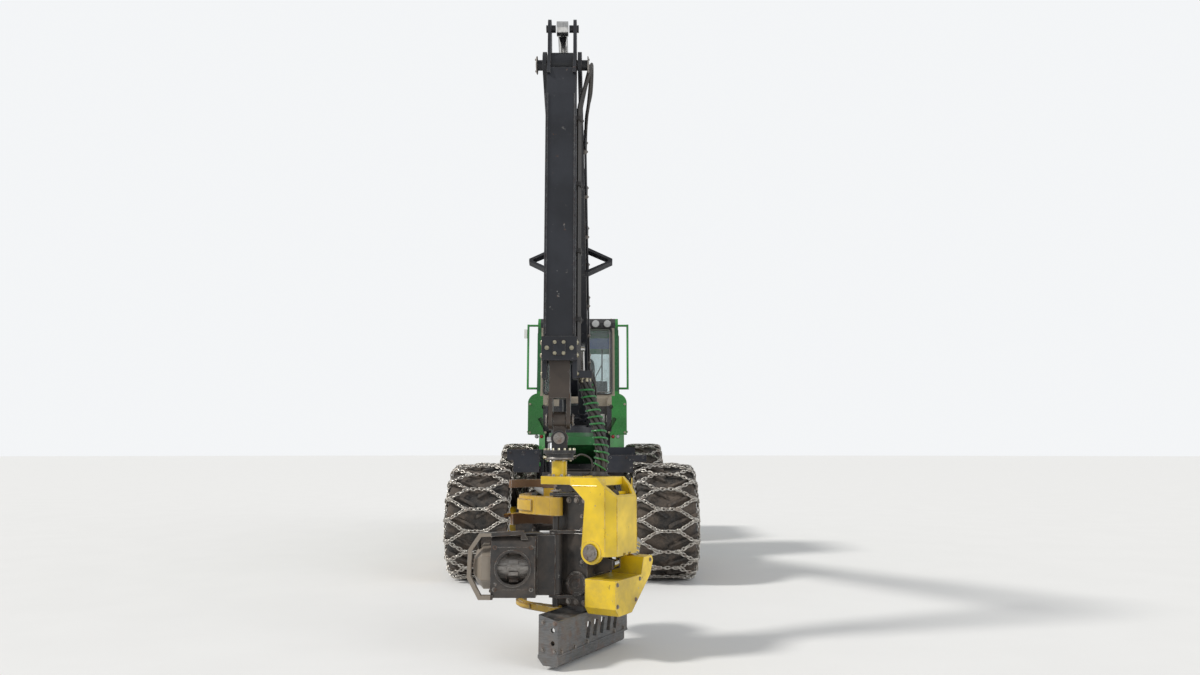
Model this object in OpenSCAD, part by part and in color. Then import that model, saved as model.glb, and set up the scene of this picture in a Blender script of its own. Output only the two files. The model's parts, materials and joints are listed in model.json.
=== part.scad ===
// Forestry harvester on six wheels: a bogie-mounted front frame with crane and cab,
// a rear frame with the engine, joined by a vertical steering joint.
// Millimetres, +Z up. The machine faces -Y, its left side is +X.
// In these modules y = 0 is the middle of the front bogie; frame_y moves the finished
// pieces so that the origin lies under the middle of the whole machine.

/* [Front wheels] */
// Outer diameter of a front tyre, without chains
front_tyre_d = 1340; // [1200:10:1400]
// Width of a front tyre
front_tyre_w = 710; // [600:10:720]
// Diameter of a front rim
front_rim_d = 673; // [600:1:760]
// Half the distance between the two wheels of a bogie
bogie_half = 750; // [740:5:820]
// Lug rows around a front tyre
front_lugs = 17; // [12:1:20]

/* [Rear wheels] */
// Outer diameter of a rear tyre, without chains
rear_tyre_d = 1645; // [1500:5:1700]
// Width of a rear tyre
rear_tyre_w = 600; // [500:10:620]
// Diameter of a rear rim
rear_rim_d = 864; // [760:1:900]
// Distance of the rear axle behind the middle of the bogie
rear_axle_y = 4050; // [3900:10:4200]
// Lug rows around a rear tyre
rear_lugs = 19; // [14:1:22]

/* [All wheels] */
// Distance of a wheel's middle from the machine's centre line
track_x = 1125; // [1120:5:1180]
// Height of the tyre chains over the tread
chain_h = 30; // [15:1:40]
// Height of the lugs
lug_h = 42; // [20:1:60]
// Radius of the axle stubs
axle_r = 70; // [50:1:90]
// Distance from the centre line to the inner end of the hubs
hub_x = 706; // [700:1:720]

/* [Frames] */
// Half the width of both frames
frame_half_w = 380; // [340:5:400]
// Height of the frames' underside
belly_z = 650; // [600:10:700]
// Height of the frames' top
deck_z = 1300; // [1250:10:1350]
// Distance of the steering joint behind the middle of the bogie
steer_y = 2100; // [2050:10:2200]
// Radius of the steering joint's pin
steer_pin_r = 60; // [40:1:80]

/* [Crane] */
// Height of the crane's tilt pin
tilt_z = 1450; // [1440:5:1500]
// Distance of the tilt pin behind the middle of the bogie
tilt_y = 150; // [100:5:200]
// Radius of the slewing ring
slew_r = 330; // [280:5:360]
// Height of the slewing ring's lower face
slew_z = 1800; // [1780:5:1850]
// Length of the main boom between its pins
boom_len = 5085; // [4800:5:5400]
// Height of the boom's foot pin
foot_z = 2420; // [2380:10:2460]
// Distance of the foot pin behind the middle of the bogie
foot_y = 120; // [80:5:160]
// Angle of the main boom over the horizontal as it stands
boom_angle = 29.5; // [25:0.5:40]
// Half the width of the main boom
boom_half_w = 170; // [150:5:200]
// Radius of the boom's pins
boom_pin_r = 45; // [30:1:60]
// Half the width of the stick
stick_half_w = 125; // [110:1:130]
// Depth of the stick from front to back
stick_d = 300; // [260:5:320]
// Length of the stick below its pin
stick_len = 2640; // [2400:10:2700]
// Half the width of the sliding extension
ext_half_w = 83; // [70:1:90]
// Depth of the sliding extension
ext_d = 200; // [160:5:220]
// Length of the extension below the stick as it stands
ext_out = 300; // [250:10:400]

/* [Head] */
// Turn of the head about its hanging axis
head_turn = 60; // [0:5:90]
// Half the width of the head's spine
spine_half_w = 170; // [150:5:190]
// Height of the head's lowest point
head_floor_z = 30; // [20:5:80]
// Radius of a feed roller
roller_r = 165; // [140:5:170]
// Length of a feed roller
roller_len = 270; // [240:10:290]
// Opening of the feed arms as the machine stands
arm_open = 30; // [0:1:35]
// How far the knives are closed as the machine stands
knife_close = 28; // [0:1:30]
// Length of the saw box
saw_box_len = 1050; // [1000:10:1100]

/* [Cab] */
// Half the width of the cab
cab_half_w = 600; // [560:5:620]
// Height of the cab's floor
cab_z = 1850; // [1830:5:1900]
// Height of the cab's roof
roof_z = 3540; // [3500:10:3600]
// Distance of the cab's turning axis behind the middle of the bogie
cab_y = 1600; // [1580:10:1650]
// Thickness of the cab's walls
cab_wall = 50; // [40:5:60]

/* [Hood] */
// Half the width of the engine hood
hood_half_w = 760; // [700:10:780]
// Front end of the hood
hood_y0 = 2950; // [2900:10:3000]
// Rear end of the hood
hood_y1 = 5600; // [5400:10:5700]
// Height of the hood's side walls
hood_z = 2420; // [2300:10:2500]
// Thickness of the hood's panels
hood_wall = 40; // [20:5:50]

/* [Hidden] */
$fn = 48;

green = "#3f8a3a";
yellow = "#e6b422";
black = "#1d1f26";
steel = "#9a9a98";
chrome = "#d8dadd";
tyre_black = "#2a2827";

fit = 0.05;        // running clearance of a pin in its bore
gap = 6;           // clearance between pieces that move past each other
seat = 0.3;        // clearance of a piece that turns or slides on its seat
pin_over = 16;     // how far a pin's head stands out

// Derived places: Y and Z of points in the machine's middle plane
front_axle_z = front_tyre_d / 2 + chain_h;
rear_axle_z = rear_tyre_d / 2 + chain_h;
tilt_pin = [tilt_y, tilt_z];
foot = [foot_y, foot_z];
knuckle = [foot_y - boom_len * cos(boom_angle), foot_z + boom_len * sin(boom_angle)];
stick_low_z = knuckle[1] - stick_len;
tip_pin = [knuckle[0] - 60, stick_low_z - ext_out - 175];
cross_pin_z = tip_pin[1] - 150;
rotator_z = cross_pin_z - 95;
head_y = tip_pin[0];
// Height of the rotator's flange that the head's own heights are drawn for, and the head's rise from it
drawn_top_z = 2420 + 5085 * sin(29.5) - 2640 - 300 - 175 - 150 - 95 - 215;
head_rise = rotator_z - 215 - drawn_top_z;
head_top_z = rotator_z - 215 - head_rise;
slew_y = -60;

// Cylinder ends: barrel pin and rod pin, Y and Z, at rest
lift_foot = [-250, 2005];
lift_eye_s = 1480;
lift_eye_drop = 390;
lift_eye = along_boom(lift_eye_s, -lift_eye_drop);
stick_cyl_foot = along_boom(2750, 290);
stick_tail = [knuckle[0] - 40, knuckle[1] + 320];
tilt_cyl_foot = [-560, 1020];
tilt_cyl_eye = [-420, 1700];
// Head's local frame: origin on the hanging axis at z = 0, +Y opens to the tree
head_pivot = [-430, 800];
head_cyl_foot = [-496, 1222];
head_cyl_eye = [-496, 705];
saw_back = -335;
saw_front = -170;
// Steering cylinders: X and Y
steer_cyl_foot = [330, 1250];
steer_cyl_eye = [385, 2350];
steer_cyl_z = 980;

// Point on the main boom: distance s from the foot pin, n above the axis
function along_boom(s, n) = [foot_y - s * cos(boom_angle) + n * sin(boom_angle),
    foot_z + s * sin(boom_angle) + n * cos(boom_angle)];
// Leaning angle about X that turns +Z to the direction from point a to point b
function lean(a, b) = atan2(a[0] - b[0], b[1] - a[1]);
function dist(a, b) = norm(b - a);

// Middle of the machine's length, from the head's front corner to the tow clevis
tow_y = hood_y1 + 330;
front_end_y = head_y - saw_box_len / 2 * sin(head_turn) + (saw_back - 6) * cos(head_turn);
frame_y = -(tow_y + front_end_y) / 2;

// Both sides of the machine
module both() {
    children();
    mirror([1, 0, 0]) children();
}

// Outline in the YZ plane, extruded from x0 to x1
module side_plate(x0, x1) {
    translate([x0, 0, 0]) rotate([90, 0, 90]) linear_extrude(x1 - x0) children();
}

// Round bar along X through point p = [y, z]
module cross_bar(p, r, x0, x1) {
    translate([x0, p[0], p[1]]) rotate([0, 90, 0]) cylinder(h = x1 - x0, r = r);
}

// Children built along +Z from point a, turned to point b, in the plane x
module strut(x, a, b) {
    translate([x, a[0], a[1]]) rotate([lean(a, b), 0, 0]) children();
}

// Round-ended link outline between two 2-D points
module link_2d(a, b, ra, rb) {
    translate(a) circle(ra);
    translate(b) circle(rb);
    d = b - a;
    len = norm(d);
    turn = atan2(d[1], d[0]);
    // The sides run just inside the circles' common tangents
    t = acos((ra - rb) / len);
    inside = 0.4;
    corner = function (c, r, side) c + (r - inside) * [cos(turn + side * t), sin(turn + side * t)];
    polygon([corner(a, ra, 1), corner(b, rb, 1), corner(b, rb, -1), corner(a, ra, -1)]);
}

// Cylinder barrel from its eye at the origin along +Z, open for the rod
module barrel(r, len, rod_r, eye_r, eye_w, pin_r) {
    difference() {
        union() {
            rotate([0, 90, 0]) translate([0, 0, -eye_w / 2]) cylinder(h = eye_w, r = eye_r);
            translate([0, 0, eye_r * 0.6]) cylinder(h = len - eye_r * 0.6, r = r);
            translate([0, 0, len - 60]) cylinder(h = 60, r = r + 8);
        }
        translate([0, 0, eye_r + 20]) cylinder(h = len, r = rod_r + fit);
        rotate([0, 90, 0]) translate([0, 0, -eye_w]) cylinder(h = 2 * eye_w, r = pin_r + fit);
    }
}

// Rod whose eye is at the origin, reaching len along -Z into the barrel
module rod(len, rod_r, eye_r, eye_w) {
    rotate([0, 90, 0]) translate([0, 0, -eye_w / 2]) cylinder(h = eye_w, r = eye_r);
    translate([0, 0, -len]) cylinder(h = len - eye_r * 0.5, r = rod_r);
}

// Tyre round the X axis, its middle at the origin: carcass, two offset rows of lugs
// and the ladder of the tyre chain
module tyre(od, w, rim_d, lugs) {
    r = od / 2;
    rim_r = rim_d / 2;
    base_r = r - lug_h;
    bead_w = 0.4 * w;
    wall_h = base_r - rim_r;
    // Half section: radius and distance from the middle plane
    section = [[rim_r, bead_w], [rim_r + 24, bead_w], [rim_r + 0.12 * wall_h, 0.44 * w], [rim_r + 0.35 * wall_h, 0.495 * w],
        [rim_r + 0.6 * wall_h, 0.5 * w], [rim_r + 0.85 * wall_h, 0.48 * w], [base_r - 8, 0.43 * w],
        [base_r, 0.3 * w]];
    whole = concat(section, [for (i = [len(section) - 1:-1:0]) [section[i][0], -section[i][1]]]);
    shoulder = [[rim_r, 0.5 * w], [base_r - 60, 0.5 * w], [r - 14, 0.47 * w], [r, 0.4 * w]];
    lug_room = concat(shoulder, [for (i = [3:-1:0]) [shoulder[i][0], -shoulder[i][1]]]);
    ring_r = base_r - 95;
    color(tyre_black) rotate([0, 90, 0]) {
        rotate_extrude() polygon(whole);
        intersection() {
            rotate_extrude() polygon(lug_room);
            union() for (half = [0, 1])
                rotate(half * 180 / lugs) translate([0, 0, half ? -w / 2 : 0]) linear_extrude(w / 2)
                    for (i = [0:lugs - 1]) rotate(i * 360 / lugs)
                        translate([base_r - 70, -lug_h * 0.6]) square([lug_h + 70, lug_h * 1.2]);
        }
        // Chain: cross links over the tread and a ring down each side wall
        for (i = [0:lugs - 1]) rotate((i + 0.25) * 360 / lugs)
            translate([ring_r, -14, -w / 2 - 12]) cube([r + chain_h - ring_r, 28, w + 24]);
        for (side = [-1, 1]) translate([0, 0, side * (w / 2 + 2)])
            rotate_extrude() translate([ring_r, 0]) circle(14, $fn = 16);
    }
}

// Rim round the X axis: barrel, dished disc, hub with its bore; +X is outward
module rim(rim_d, w, disc_x) {
    rim_r = rim_d / 2;
    bead_w = 0.4 * w;
    hub_in = hub_x - track_x;
    color(yellow) rotate([0, 90, 0]) difference() {
        rotate_extrude() polygon([
            [0, hub_in], [170, hub_in], [190, disc_x - 40], [rim_r - 60, disc_x - 30],
            [rim_r - 18, -bead_w - 14], [rim_r + 22, -bead_w - 14], [rim_r + 22, -bead_w],
            [rim_r, -bead_w], [rim_r, bead_w], [rim_r + 22, bead_w], [rim_r + 22, bead_w + 14],
            [rim_r - 18, bead_w + 14], [rim_r - 40, disc_x + 10], [rim_r - 70, disc_x],
            [200, disc_x], [180, disc_x + 90], [110, disc_x + 120], [0, disc_x + 120]]);
        translate([0, 0, hub_in - 1]) cylinder(h = 200 + 1, r = axle_r + fit);
        for (i = [0:11]) rotate(i * 30) translate([rim_r - 95, 0, disc_x - 60])
            cylinder(h = 120, r = 14, $fn = 16);
    }
}

// Side view of a bogie box: two hub housings and the beam between them
module bogie_outline() {
    for (end = [-1, 1]) translate([end * bogie_half, front_axle_z]) circle(225);
    polygon([[-bogie_half, front_axle_z - 225], [-200, front_axle_z - 180], [200, front_axle_z - 180],
        [bogie_half, front_axle_z - 225], [bogie_half, front_axle_z + 225], [260, front_axle_z + 300],
        [-260, front_axle_z + 300], [-bogie_half, front_axle_z + 225]]);
}

// Both bogie boxes with the stubs that carry the wheels' hubs
module bogie_boxes() color(black) both() {
    side_plate(500, hub_x - gap) bogie_outline();
    side_plate(480, 500) translate([0, front_axle_z]) circle(230);
    for (end = [-1, 1]) cross_bar([end * bogie_half, front_axle_z], axle_r, hub_x - gap, hub_x + 190);
}

// Side view of the front frame, from the nose over the steering joint's carrier
module front_frame_outline() polygon([[-1000, 880], [-820, belly_z], [1500, belly_z],
    [1830, belly_z + 80], [1830, deck_z - 60], [1500, deck_z], [-1000, deck_z]]);

// Front frame: box, bogie bosses, tower cheeks with the tilt pin, steering lugs and pin
module front_frame() {
    color(black) difference() {
        union() {
            side_plate(-frame_half_w, frame_half_w) front_frame_outline();
            cross_bar([0, front_axle_z], 190, -480, 480);
            // Turntable's seat under the cab
            translate([0, cab_y, deck_z - 40]) cylinder(h = 150, r = 400);
        }
        // Steering cylinders' pockets
        both() translate([200, 1180, steer_cyl_z - 75]) cube([400, 800, 150]);
        // Recess under the crane for the tilt cylinders
        both() translate([255, -700, 880]) cube([130, 560, 500]);
    }
    color(black) {
        // Steering joint's lugs and pin
        for (z = [[belly_z + 30, 60], [deck_z - 130, 60]]) translate([0, 0, z[0]]) {
            translate([-170, 1800, 0]) cube([340, steer_y - 1800, z[1]]);
            translate([0, steer_y, 0]) cylinder(h = z[1], r = 170);
        }
        translate([0, steer_y, belly_z + 20]) cylinder(h = deck_z - belly_z - 80, r = steer_pin_r);
        // Steering cylinders' pins
        both() translate([steer_cyl_foot[0], steer_cyl_foot[1], steer_cyl_z - 76])
            cylinder(h = 152, r = 25);
        // Tilt cylinders' pins
        both() cross_bar(tilt_cyl_foot, 22, 254, 386);
    }
    // Tower cheeks
    color(green) both() side_plate(348, 398) {
        translate(tilt_pin) circle(115);
        polygon([[-260, deck_z - 100], [620, deck_z - 100], [620, deck_z], [tilt_y + 110, tilt_z + 30],
            [tilt_y - 110, tilt_z + 30], [-260, deck_z]]);
    }
    color(steel) cross_bar(tilt_pin, 50, -410, 410);
}

// Work decks over the front wheels, with their skirts
module front_decks() {
    left_edge = 820;
    right_edge = 905;
    color("#20242f") {
        translate([-left_edge, -960, 1450]) cube([left_edge - 420, 1300, 130]);
        translate([-740, -960, deck_z]) cube([320, 40, 150]);
        translate([420, -960, 1430]) cube([right_edge - 420, 1300, 80]);
        translate([420, -960, deck_z]) cube([320, 40, 130]);
        translate([420, -600, 1510]) cube([360, 800, 100]);
        // Brackets down to the frame
        for (side = [-1, 1], y = [-760, -400]) translate([side * 400 - 20, y, deck_z - 60])
            cube([40, 80, 190]);
        for (side = [-1, 1], y = [-760, -400]) translate([side > 0 ? 380 : -460, y, 1420]) cube([80, 80, 30]);
    }
}

// Bent bumper pipe before the nose, on two brackets
module bumper_pipe() color("#8d8f90") {
    bow_r = 440;
    translate([0, -1000, 1150]) {
        rotate([14, 0, 0]) {
            rotate([0, 0, 180]) rotate_extrude(angle = 180) translate([bow_r, 0]) circle(38);
            for (side = [-1, 1]) translate([side * bow_r, 0, 0]) rotate([-90, 0, 0]) cylinder(h = 90, r = 38);
        }
        for (side = [-1, 1]) translate([side * bow_r - 20, -10, -60]) cube([40, 60, 120]);
    }
    for (side = [-1, 1]) translate([side > 0 ? frame_half_w : -470, -990, 1090])
        cube([470 - frame_half_w, 40, 120]);
}

// Saddle of the crane: swings on the tilt pin and carries the slewing ring
module tilt_base() color(green) difference() {
    union() {
        side_plate(-340, 340) polygon([[-330, 1560], [20, 1390], [280, 1390], [330, 1560],
            [320, slew_z - 50], [-440, slew_z - 50], [-470, 1640]]);
        translate([0, slew_y, slew_z - 90]) cylinder(h = 90, r = slew_r + 30);
    }
    cross_bar(tilt_pin, 50 + fit, -400, 400);
    // Pockets for the tilt cylinders' eyes
    both() translate([262, -520, 1500]) cube([100, 240, 380]);
}

// Tilt cylinders before the saddle
tilt_len = dist(tilt_cyl_foot, tilt_cyl_eye);
module tilt_barrels() color(black) both()
    strut(320, tilt_cyl_foot, tilt_cyl_eye) barrel(50, 400, 28, 46, 80, 22);
module tilt_rods() color(chrome) both()
    strut(320, tilt_cyl_foot, tilt_cyl_eye) translate([0, 0, tilt_len]) rod(455, 28, 46, 80);

// Slewing pillar with the fork for the boom's foot and the lift cylinders' lugs
module slew_pillar() {
    color(black) {
        translate([0, slew_y, slew_z + seat]) cylinder(h = 70, r = slew_r);
        translate([0, slew_y, slew_z + 60]) cylinder(h = 36, r = 250);
        both() side_plate(boom_half_w + gap, boom_half_w + gap + 45) {
            translate(foot) circle(115);
            polygon([[-290, slew_z + 60], [190, slew_z + 60], [foot_y + 112, foot_z - 20],
                [foot_y - 80, foot_z + 80], [-150, 2200]]);
            translate(lift_foot) circle(70);
            polygon([[-250, slew_z + 60], [lift_foot[0] - 50, lift_foot[1] - 50],
                [lift_foot[0] - 20, lift_foot[1] + 67], [-120, 2180]]);
        }
        side_plate(-boom_half_w - 10, boom_half_w + 10)
            polygon([[-40, slew_z + 60], [170, slew_z + 60], [210, foot_z - 200], [60, foot_z - 240]]);
    }
    color(steel) {
        cross_bar(foot, boom_pin_r, -boom_half_w - 70, boom_half_w + 70);
        cross_bar(lift_foot, 35, -boom_half_w - 60, boom_half_w + 60);
    }
}

// Lift cylinders under the main boom
lift_x = 104;
lift_len = dist(lift_foot, lift_eye);
module lift_barrels() color(black) both()
    strut(lift_x, lift_foot, lift_eye) barrel(58, 900, 36, 60, 90, 35);
module lift_rods() color(chrome) both()
    strut(lift_x, lift_foot, lift_eye) translate([0, 0, lift_len]) rod(830, 36, 60, 90);

// Children in the main boom's own frame: foot pin at the origin, tip towards -Y
module in_boom() translate([0, foot_y, foot_z]) rotate([-boom_angle, 0, 0]) children();

// Main boom: box beam, foot boss, tip fork, cylinder lugs and hose guards
module main_boom() {
    tip = -boom_len;
    fork_y = tip + 560;
    color(black) in_boom() difference() {
        union() {
            side_plate(-boom_half_w, boom_half_w) {
                circle(112);
                polygon([[0, -112], [-500, -170], [-1500, -190], [tip + 1300, -150], [fork_y, -120],
                    [fork_y, 120], [tip + 1300, 150], [-1500, 170], [-450, 150], [0, 112]]);
            }
            both() side_plate(boom_half_w - 34, boom_half_w) link_2d([fork_y + 60, 0], [tip, 0], 118, 112);
            // Lift cylinders' lug, between the two rods
            side_plate(-30, 30) polygon([[-lift_eye_s + 300, -150], [-lift_eye_s + 60, -lift_eye_drop - 55],
                [-lift_eye_s - 60, -lift_eye_drop - 55], [-lift_eye_s - 330, -150]]);
            // Stick cylinder's lugs on the top
            both() side_plate(86, 116) polygon([[-2500, 120], [-2700, 350], [-2800, 350], [-2950, 120]]);
        }
        cross_bar([0, 0], boom_pin_r + fit, -boom_half_w - 20, boom_half_w + 20);
    }
    color(steel) {
        cross_bar(knuckle, boom_pin_r, -boom_half_w - 50, boom_half_w + 50);
        cross_bar(stick_cyl_foot, 30, -134, 134);
    }
    // Hose guards: a bent bar on either side
    color(black) in_boom() both() translate([0, -2520, 0]) rotate([90, 0, 0]) linear_extrude(70)
        difference() {
            polygon([[boom_half_w - 10, 190], [boom_half_w + 30, 190], [470, 20], [470, -20],
                [boom_half_w + 30, -190], [boom_half_w - 10, -190]]);
            polygon([[boom_half_w + 1, 150], [boom_half_w + 20, 150], [425, 12], [425, -12],
                [boom_half_w + 20, -150], [boom_half_w + 1, -150]]);
        }
}

// Stick: hollow box with the cheeks of the knuckle above and a collar below
stick_y = tip_pin[0];
ext_room = 5;
module stick() {
    top_z = knuckle[1] - 100;
    back_y = stick_y + stick_d / 2;
    front_y = stick_y - stick_d / 2;
    color(black) difference() {
        union() {
            side_plate(-stick_half_w, stick_half_w) {
                polygon([[front_y, stick_low_z], [back_y, stick_low_z], [back_y, top_z - 150],
                    [back_y - 20, top_z], [front_y + 40, top_z], [front_y, top_z - 250]]);
                translate(knuckle) circle(106);
            }
            both() side_plate(stick_half_w - 28, stick_half_w) {
                link_2d(knuckle, stick_tail, 112, 78);
                polygon([[front_y + 4, top_z - 60], [back_y - 4, top_z - 60], [knuckle[0] + 112, knuckle[1]],
                    [knuckle[0] - 112, knuckle[1] + 60]]);
            }
            // Collar and its skirts
            translate([-stick_half_w - 19, front_y - 19, stick_low_z])
                cube([2 * stick_half_w + 38, stick_d + 38, 195]);
            both() translate([stick_half_w - 20, stick_y - 90, stick_low_z - 140]) cube([39, 180, 150]);
            // Gland that holds the hoses' upper end
            translate([stick_half_w + 18, stick_y - 60, hose_path[0][2] + seat]) cube([hose_path[0][0] + hose_r - stick_half_w - 10, 120, 60]);
            // Wear pad's cover plate
            translate([-50, front_y - 31, stick_low_z + 40]) cube([100, 20, 120]);
        }
        translate([-ext_half_w - ext_room, stick_y - ext_d / 2 - ext_room, stick_low_z - 200])
            cube([2 * (ext_half_w + ext_room), ext_d + 2 * ext_room, 2000]);
        cross_bar(knuckle, boom_pin_r + fit, -stick_half_w - 10, stick_half_w + 10);
    }
    // Wear pads that guide the extension inside the collar
    pad = ext_room - seat;
    color("#c9c4b0") for (z = [stick_low_z + 20, stick_low_z + 1500]) {
        both() translate([ext_half_w + seat, stick_y - 60, z]) cube([pad, 120, 120]);
        for (side = [-1, 1]) translate([-50, stick_y + side * (ext_d / 2 + seat + pad / 2) - pad / 2, z])
            cube([100, pad, 120]);
    }
    color(steel) both() cross_bar(stick_tail, 32, 60, stick_half_w + 18);
}

// Stick cylinder on the main boom
stick_cyl_len = dist(stick_cyl_foot, stick_tail);
module stick_barrel() color(black)
    strut(0, stick_cyl_foot, stick_tail) barrel(70, 1500, 42, 64, 160, 30);
module stick_rod() color(chrome)
    strut(0, stick_cyl_foot, stick_tail) translate([0, 0, stick_cyl_len]) rod(1400, 42, 64, 100);

// Sliding extension with the fork for the hanger link
module extension() {
    low_z = stick_low_z - ext_out;
    color("#3a332d") difference() {
        union() {
            translate([-ext_half_w, stick_y - ext_d / 2, low_z]) cube([2 * ext_half_w, ext_d, ext_out + 1600]);
            both() side_plate(56, 88) {
                translate(tip_pin) circle(82);
                polygon([[stick_y - 95, low_z + 50], [stick_y + 95, low_z + 50],
                    [stick_y + 82, tip_pin[1]], [stick_y - 82, tip_pin[1]]]);
            }
        }
    }
    color(steel) cross_bar(tip_pin, 35, -104, 104);
}

// Link with two crossed eyes between extension and rotator
module hanger_link() color(steel) difference() {
    union() {
        cross_bar(tip_pin, 70, -50, 50);
        translate([-48, stick_y - 44, cross_pin_z]) cube([96, 88, tip_pin[1] - cross_pin_z]);
        translate([0, stick_y - 44, cross_pin_z]) rotate([-90, 0, 0]) cylinder(h = 88, r = 68);
    }
    cross_bar(tip_pin, 35 + fit, -60, 60);
    translate([0, stick_y - 60, cross_pin_z]) rotate([-90, 0, 0]) cylinder(h = 120, r = 30 + fit);
}

// Rotator: clevis, drum and bolt ring
module rotator() {
    color("#55575a") difference() {
        union() {
            translate([0, stick_y, rotator_z - 80]) cylinder(h = 80, r = 115);
            translate([0, stick_y, rotator_z - 28]) cylinder(h = 28, r = 130);
            for (side = [-1, 1]) translate([0, stick_y + side * 66 - 16, 0]) {
                translate([0, 0, cross_pin_z]) rotate([-90, 0, 0]) cylinder(h = 32, r = 62);
                translate([-62, 0, rotator_z - 5]) cube([124, 32, cross_pin_z - rotator_z + 5]);
            }
        }
        translate([0, stick_y, rotator_z - 90]) cylinder(h = 70, r = 50 + fit);
    }
    color(steel) translate([0, stick_y - 94, cross_pin_z]) rotate([-90, 0, 0]) cylinder(h = 188, r = 30);
}

// Children in the head's own frame: its hanging axis at the origin, opening towards +Y, and the crane's tip
// at the height that the head is drawn for
module in_head() translate([0, head_y, head_rise]) rotate([0, 0, head_turn]) children();

// Hanger of the head: rotator shaft, top beam, and the yellow back channel down to the tilt pin
arm_x0 = spine_half_w + gap + 6;
arm_x1 = arm_x0 + 38;
beam_h = 64;
beam_z = head_top_z - 56;
hanger_back_y = head_pivot[0] - 190;
module head_hanger() in_head() {
    top = beam_z + beam_h;
    color(steel) translate([0, 0, head_top_z]) {
        cylinder(h = 215 - 80 - gap, r = 62);
        cylinder(h = 215 - 25, r = 50);
    }
    color(yellow) {
        translate([-105, -380, beam_z]) cube([210, 490, beam_h]);
        difference() {
            intersection() {
                // Channel seen from above, its back corners cut off
                translate([0, 0, 600]) linear_extrude(1000) difference() {
                    polygon([[-arm_x1, -240], [-arm_x1, hanger_back_y + 70], [-arm_x1 + 62, hanger_back_y],
                        [arm_x1 - 62, hanger_back_y], [arm_x1, hanger_back_y + 70], [arm_x1, -240]]);
                    polygon([[-arm_x0, -230], [-arm_x0, hanger_back_y + 84], [-arm_x0 + 54, hanger_back_y + 16],
                        [arm_x0 - 54, hanger_back_y + 16], [arm_x0, hanger_back_y + 84], [arm_x0, -230]]);
                }
                // Its outline from the side
                side_plate(-arm_x1, arm_x1) {
                    translate(head_pivot) circle(88);
                    polygon([[hanger_back_y, head_pivot[1] - 26], [head_pivot[0] - 60, head_pivot[1] - 26],
                        [head_pivot[0] + 88, head_pivot[1]], [head_pivot[0] + 58, 1180], [-250, beam_z],
                        [-250, top], [hanger_back_y + 140, top], [hanger_back_y, 1210]]);
                }
            }
            // Hand holes in the back
            for (x = [-60, 20]) translate([x, hanger_back_y - 10, head_pivot[1] - 30]) cube([40, 60, 22]);
        }
        // Top plate from arm to arm
        translate([-arm_x1, hanger_back_y + 140, beam_z]) cube([2 * arm_x1, -380 - hanger_back_y, beam_h]);
    }
    color(steel) {
        cross_bar(head_pivot, 38, -arm_x1 - pin_over, arm_x1 + pin_over);
        cross_bar(head_cyl_foot, 22, -arm_x0 - 5, arm_x0 + 5);
    }
}

// Tilt cylinder of the head, inside the hanger
head_cyl_len = dist(head_cyl_foot, head_cyl_eye);
module head_tilt_barrel() color(black) in_head()
    strut(0, head_cyl_foot, head_cyl_eye) barrel(40, 300, 24, 38, 70, 22);
module head_tilt_rod() color(chrome) in_head()
    strut(0, head_cyl_foot, head_cyl_eye) translate([0, 0, head_cyl_len]) rod(262, 24, 38, 70);

// Pivots of the knives and feed arms on both sides of the spine, and the spine's levels
claw_pin = [205, -105];
claw_pin_r = 25;
trunk_y = 215;
spine_low_z = 300;
spine_top_z = 1236;
saw_top_z = 392;
arm_low_z = 478;
arm_top_z = 922;
deck_t = 24;
roller_x = 300;
roller_y = 62;
roller_z = (arm_low_z + arm_top_z) / 2;
saw_pin = [400, -235];

// Outline of a deck, its straight back edge at y0
module deck_2d(y0) polygon([[-spine_half_w, y0], [spine_half_w, y0], [245, -150], [245, -70], [120, -40],
    [60, -140], [-60, -140], [-120, -40], [-245, -70], [-245, -150]]);

// Spine of the head: a channel open to the tree, with decks and the claw pins
module head_frame() in_head() {
    back_y = head_pivot[0] + 62;
    deck_seat = saw_front + seat;
    color(black) difference() {
        union() {
            translate([0, 0, saw_top_z]) linear_extrude(spine_top_z - saw_top_z)
                polygon([[-spine_half_w, back_y], [spine_half_w, back_y], [spine_half_w, -190],
                    [130, -60], [100, -60], [100, -250], [-100, -250], [-100, -60], [-130, -60],
                    [-spine_half_w, -190]]);
            // Cheeks beside the saw box
            both() translate([100, deck_seat, spine_low_z]) cube([30, -60 - deck_seat, saw_top_z - spine_low_z + 1]);
            // Decks that hold the claw pins
            for (z = [arm_low_z - gap - deck_t, arm_top_z + gap, spine_top_z - deck_t])
                translate([0, 0, z]) linear_extrude(deck_t) deck_2d(-260);
            translate([0, 0, spine_low_z]) linear_extrude(deck_t) deck_2d(deck_seat);
            // Ears of the tilt pin
            both() side_plate(spine_half_w - 60, spine_half_w) {
                translate(head_pivot) circle(70);
                polygon([[head_pivot[0], head_pivot[1] - 70], [-300, head_pivot[1] - 110],
                    [-300, head_pivot[1] + 110], [head_pivot[0], head_pivot[1] + 70]]);
            }
            // Measuring wheels' housings
            translate([0, -285, 560]) rotate([0, 90, 0]) cylinder(h = 2 * spine_half_w + 12, r = 78, center = true);
        }
        cross_bar(head_pivot, 38 + fit, -spine_half_w - 5, spine_half_w + 5);
    }
    // Lugs beside the tilt cylinder's eye
    color(black) both() side_plate(44, 64) polygon([[back_y + 5, head_cyl_eye[1] - 90],
        [head_cyl_eye[0] - 30, head_cyl_eye[1] - 40], [head_cyl_eye[0] - 30, head_cyl_eye[1] + 30],
        [back_y + 5, head_cyl_eye[1] + 60]]);
    color(steel) both() translate([claw_pin[0], claw_pin[1], spine_low_z - 10])
        cylinder(h = spine_top_z - spine_low_z + 20, r = claw_pin_r);
}

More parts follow.
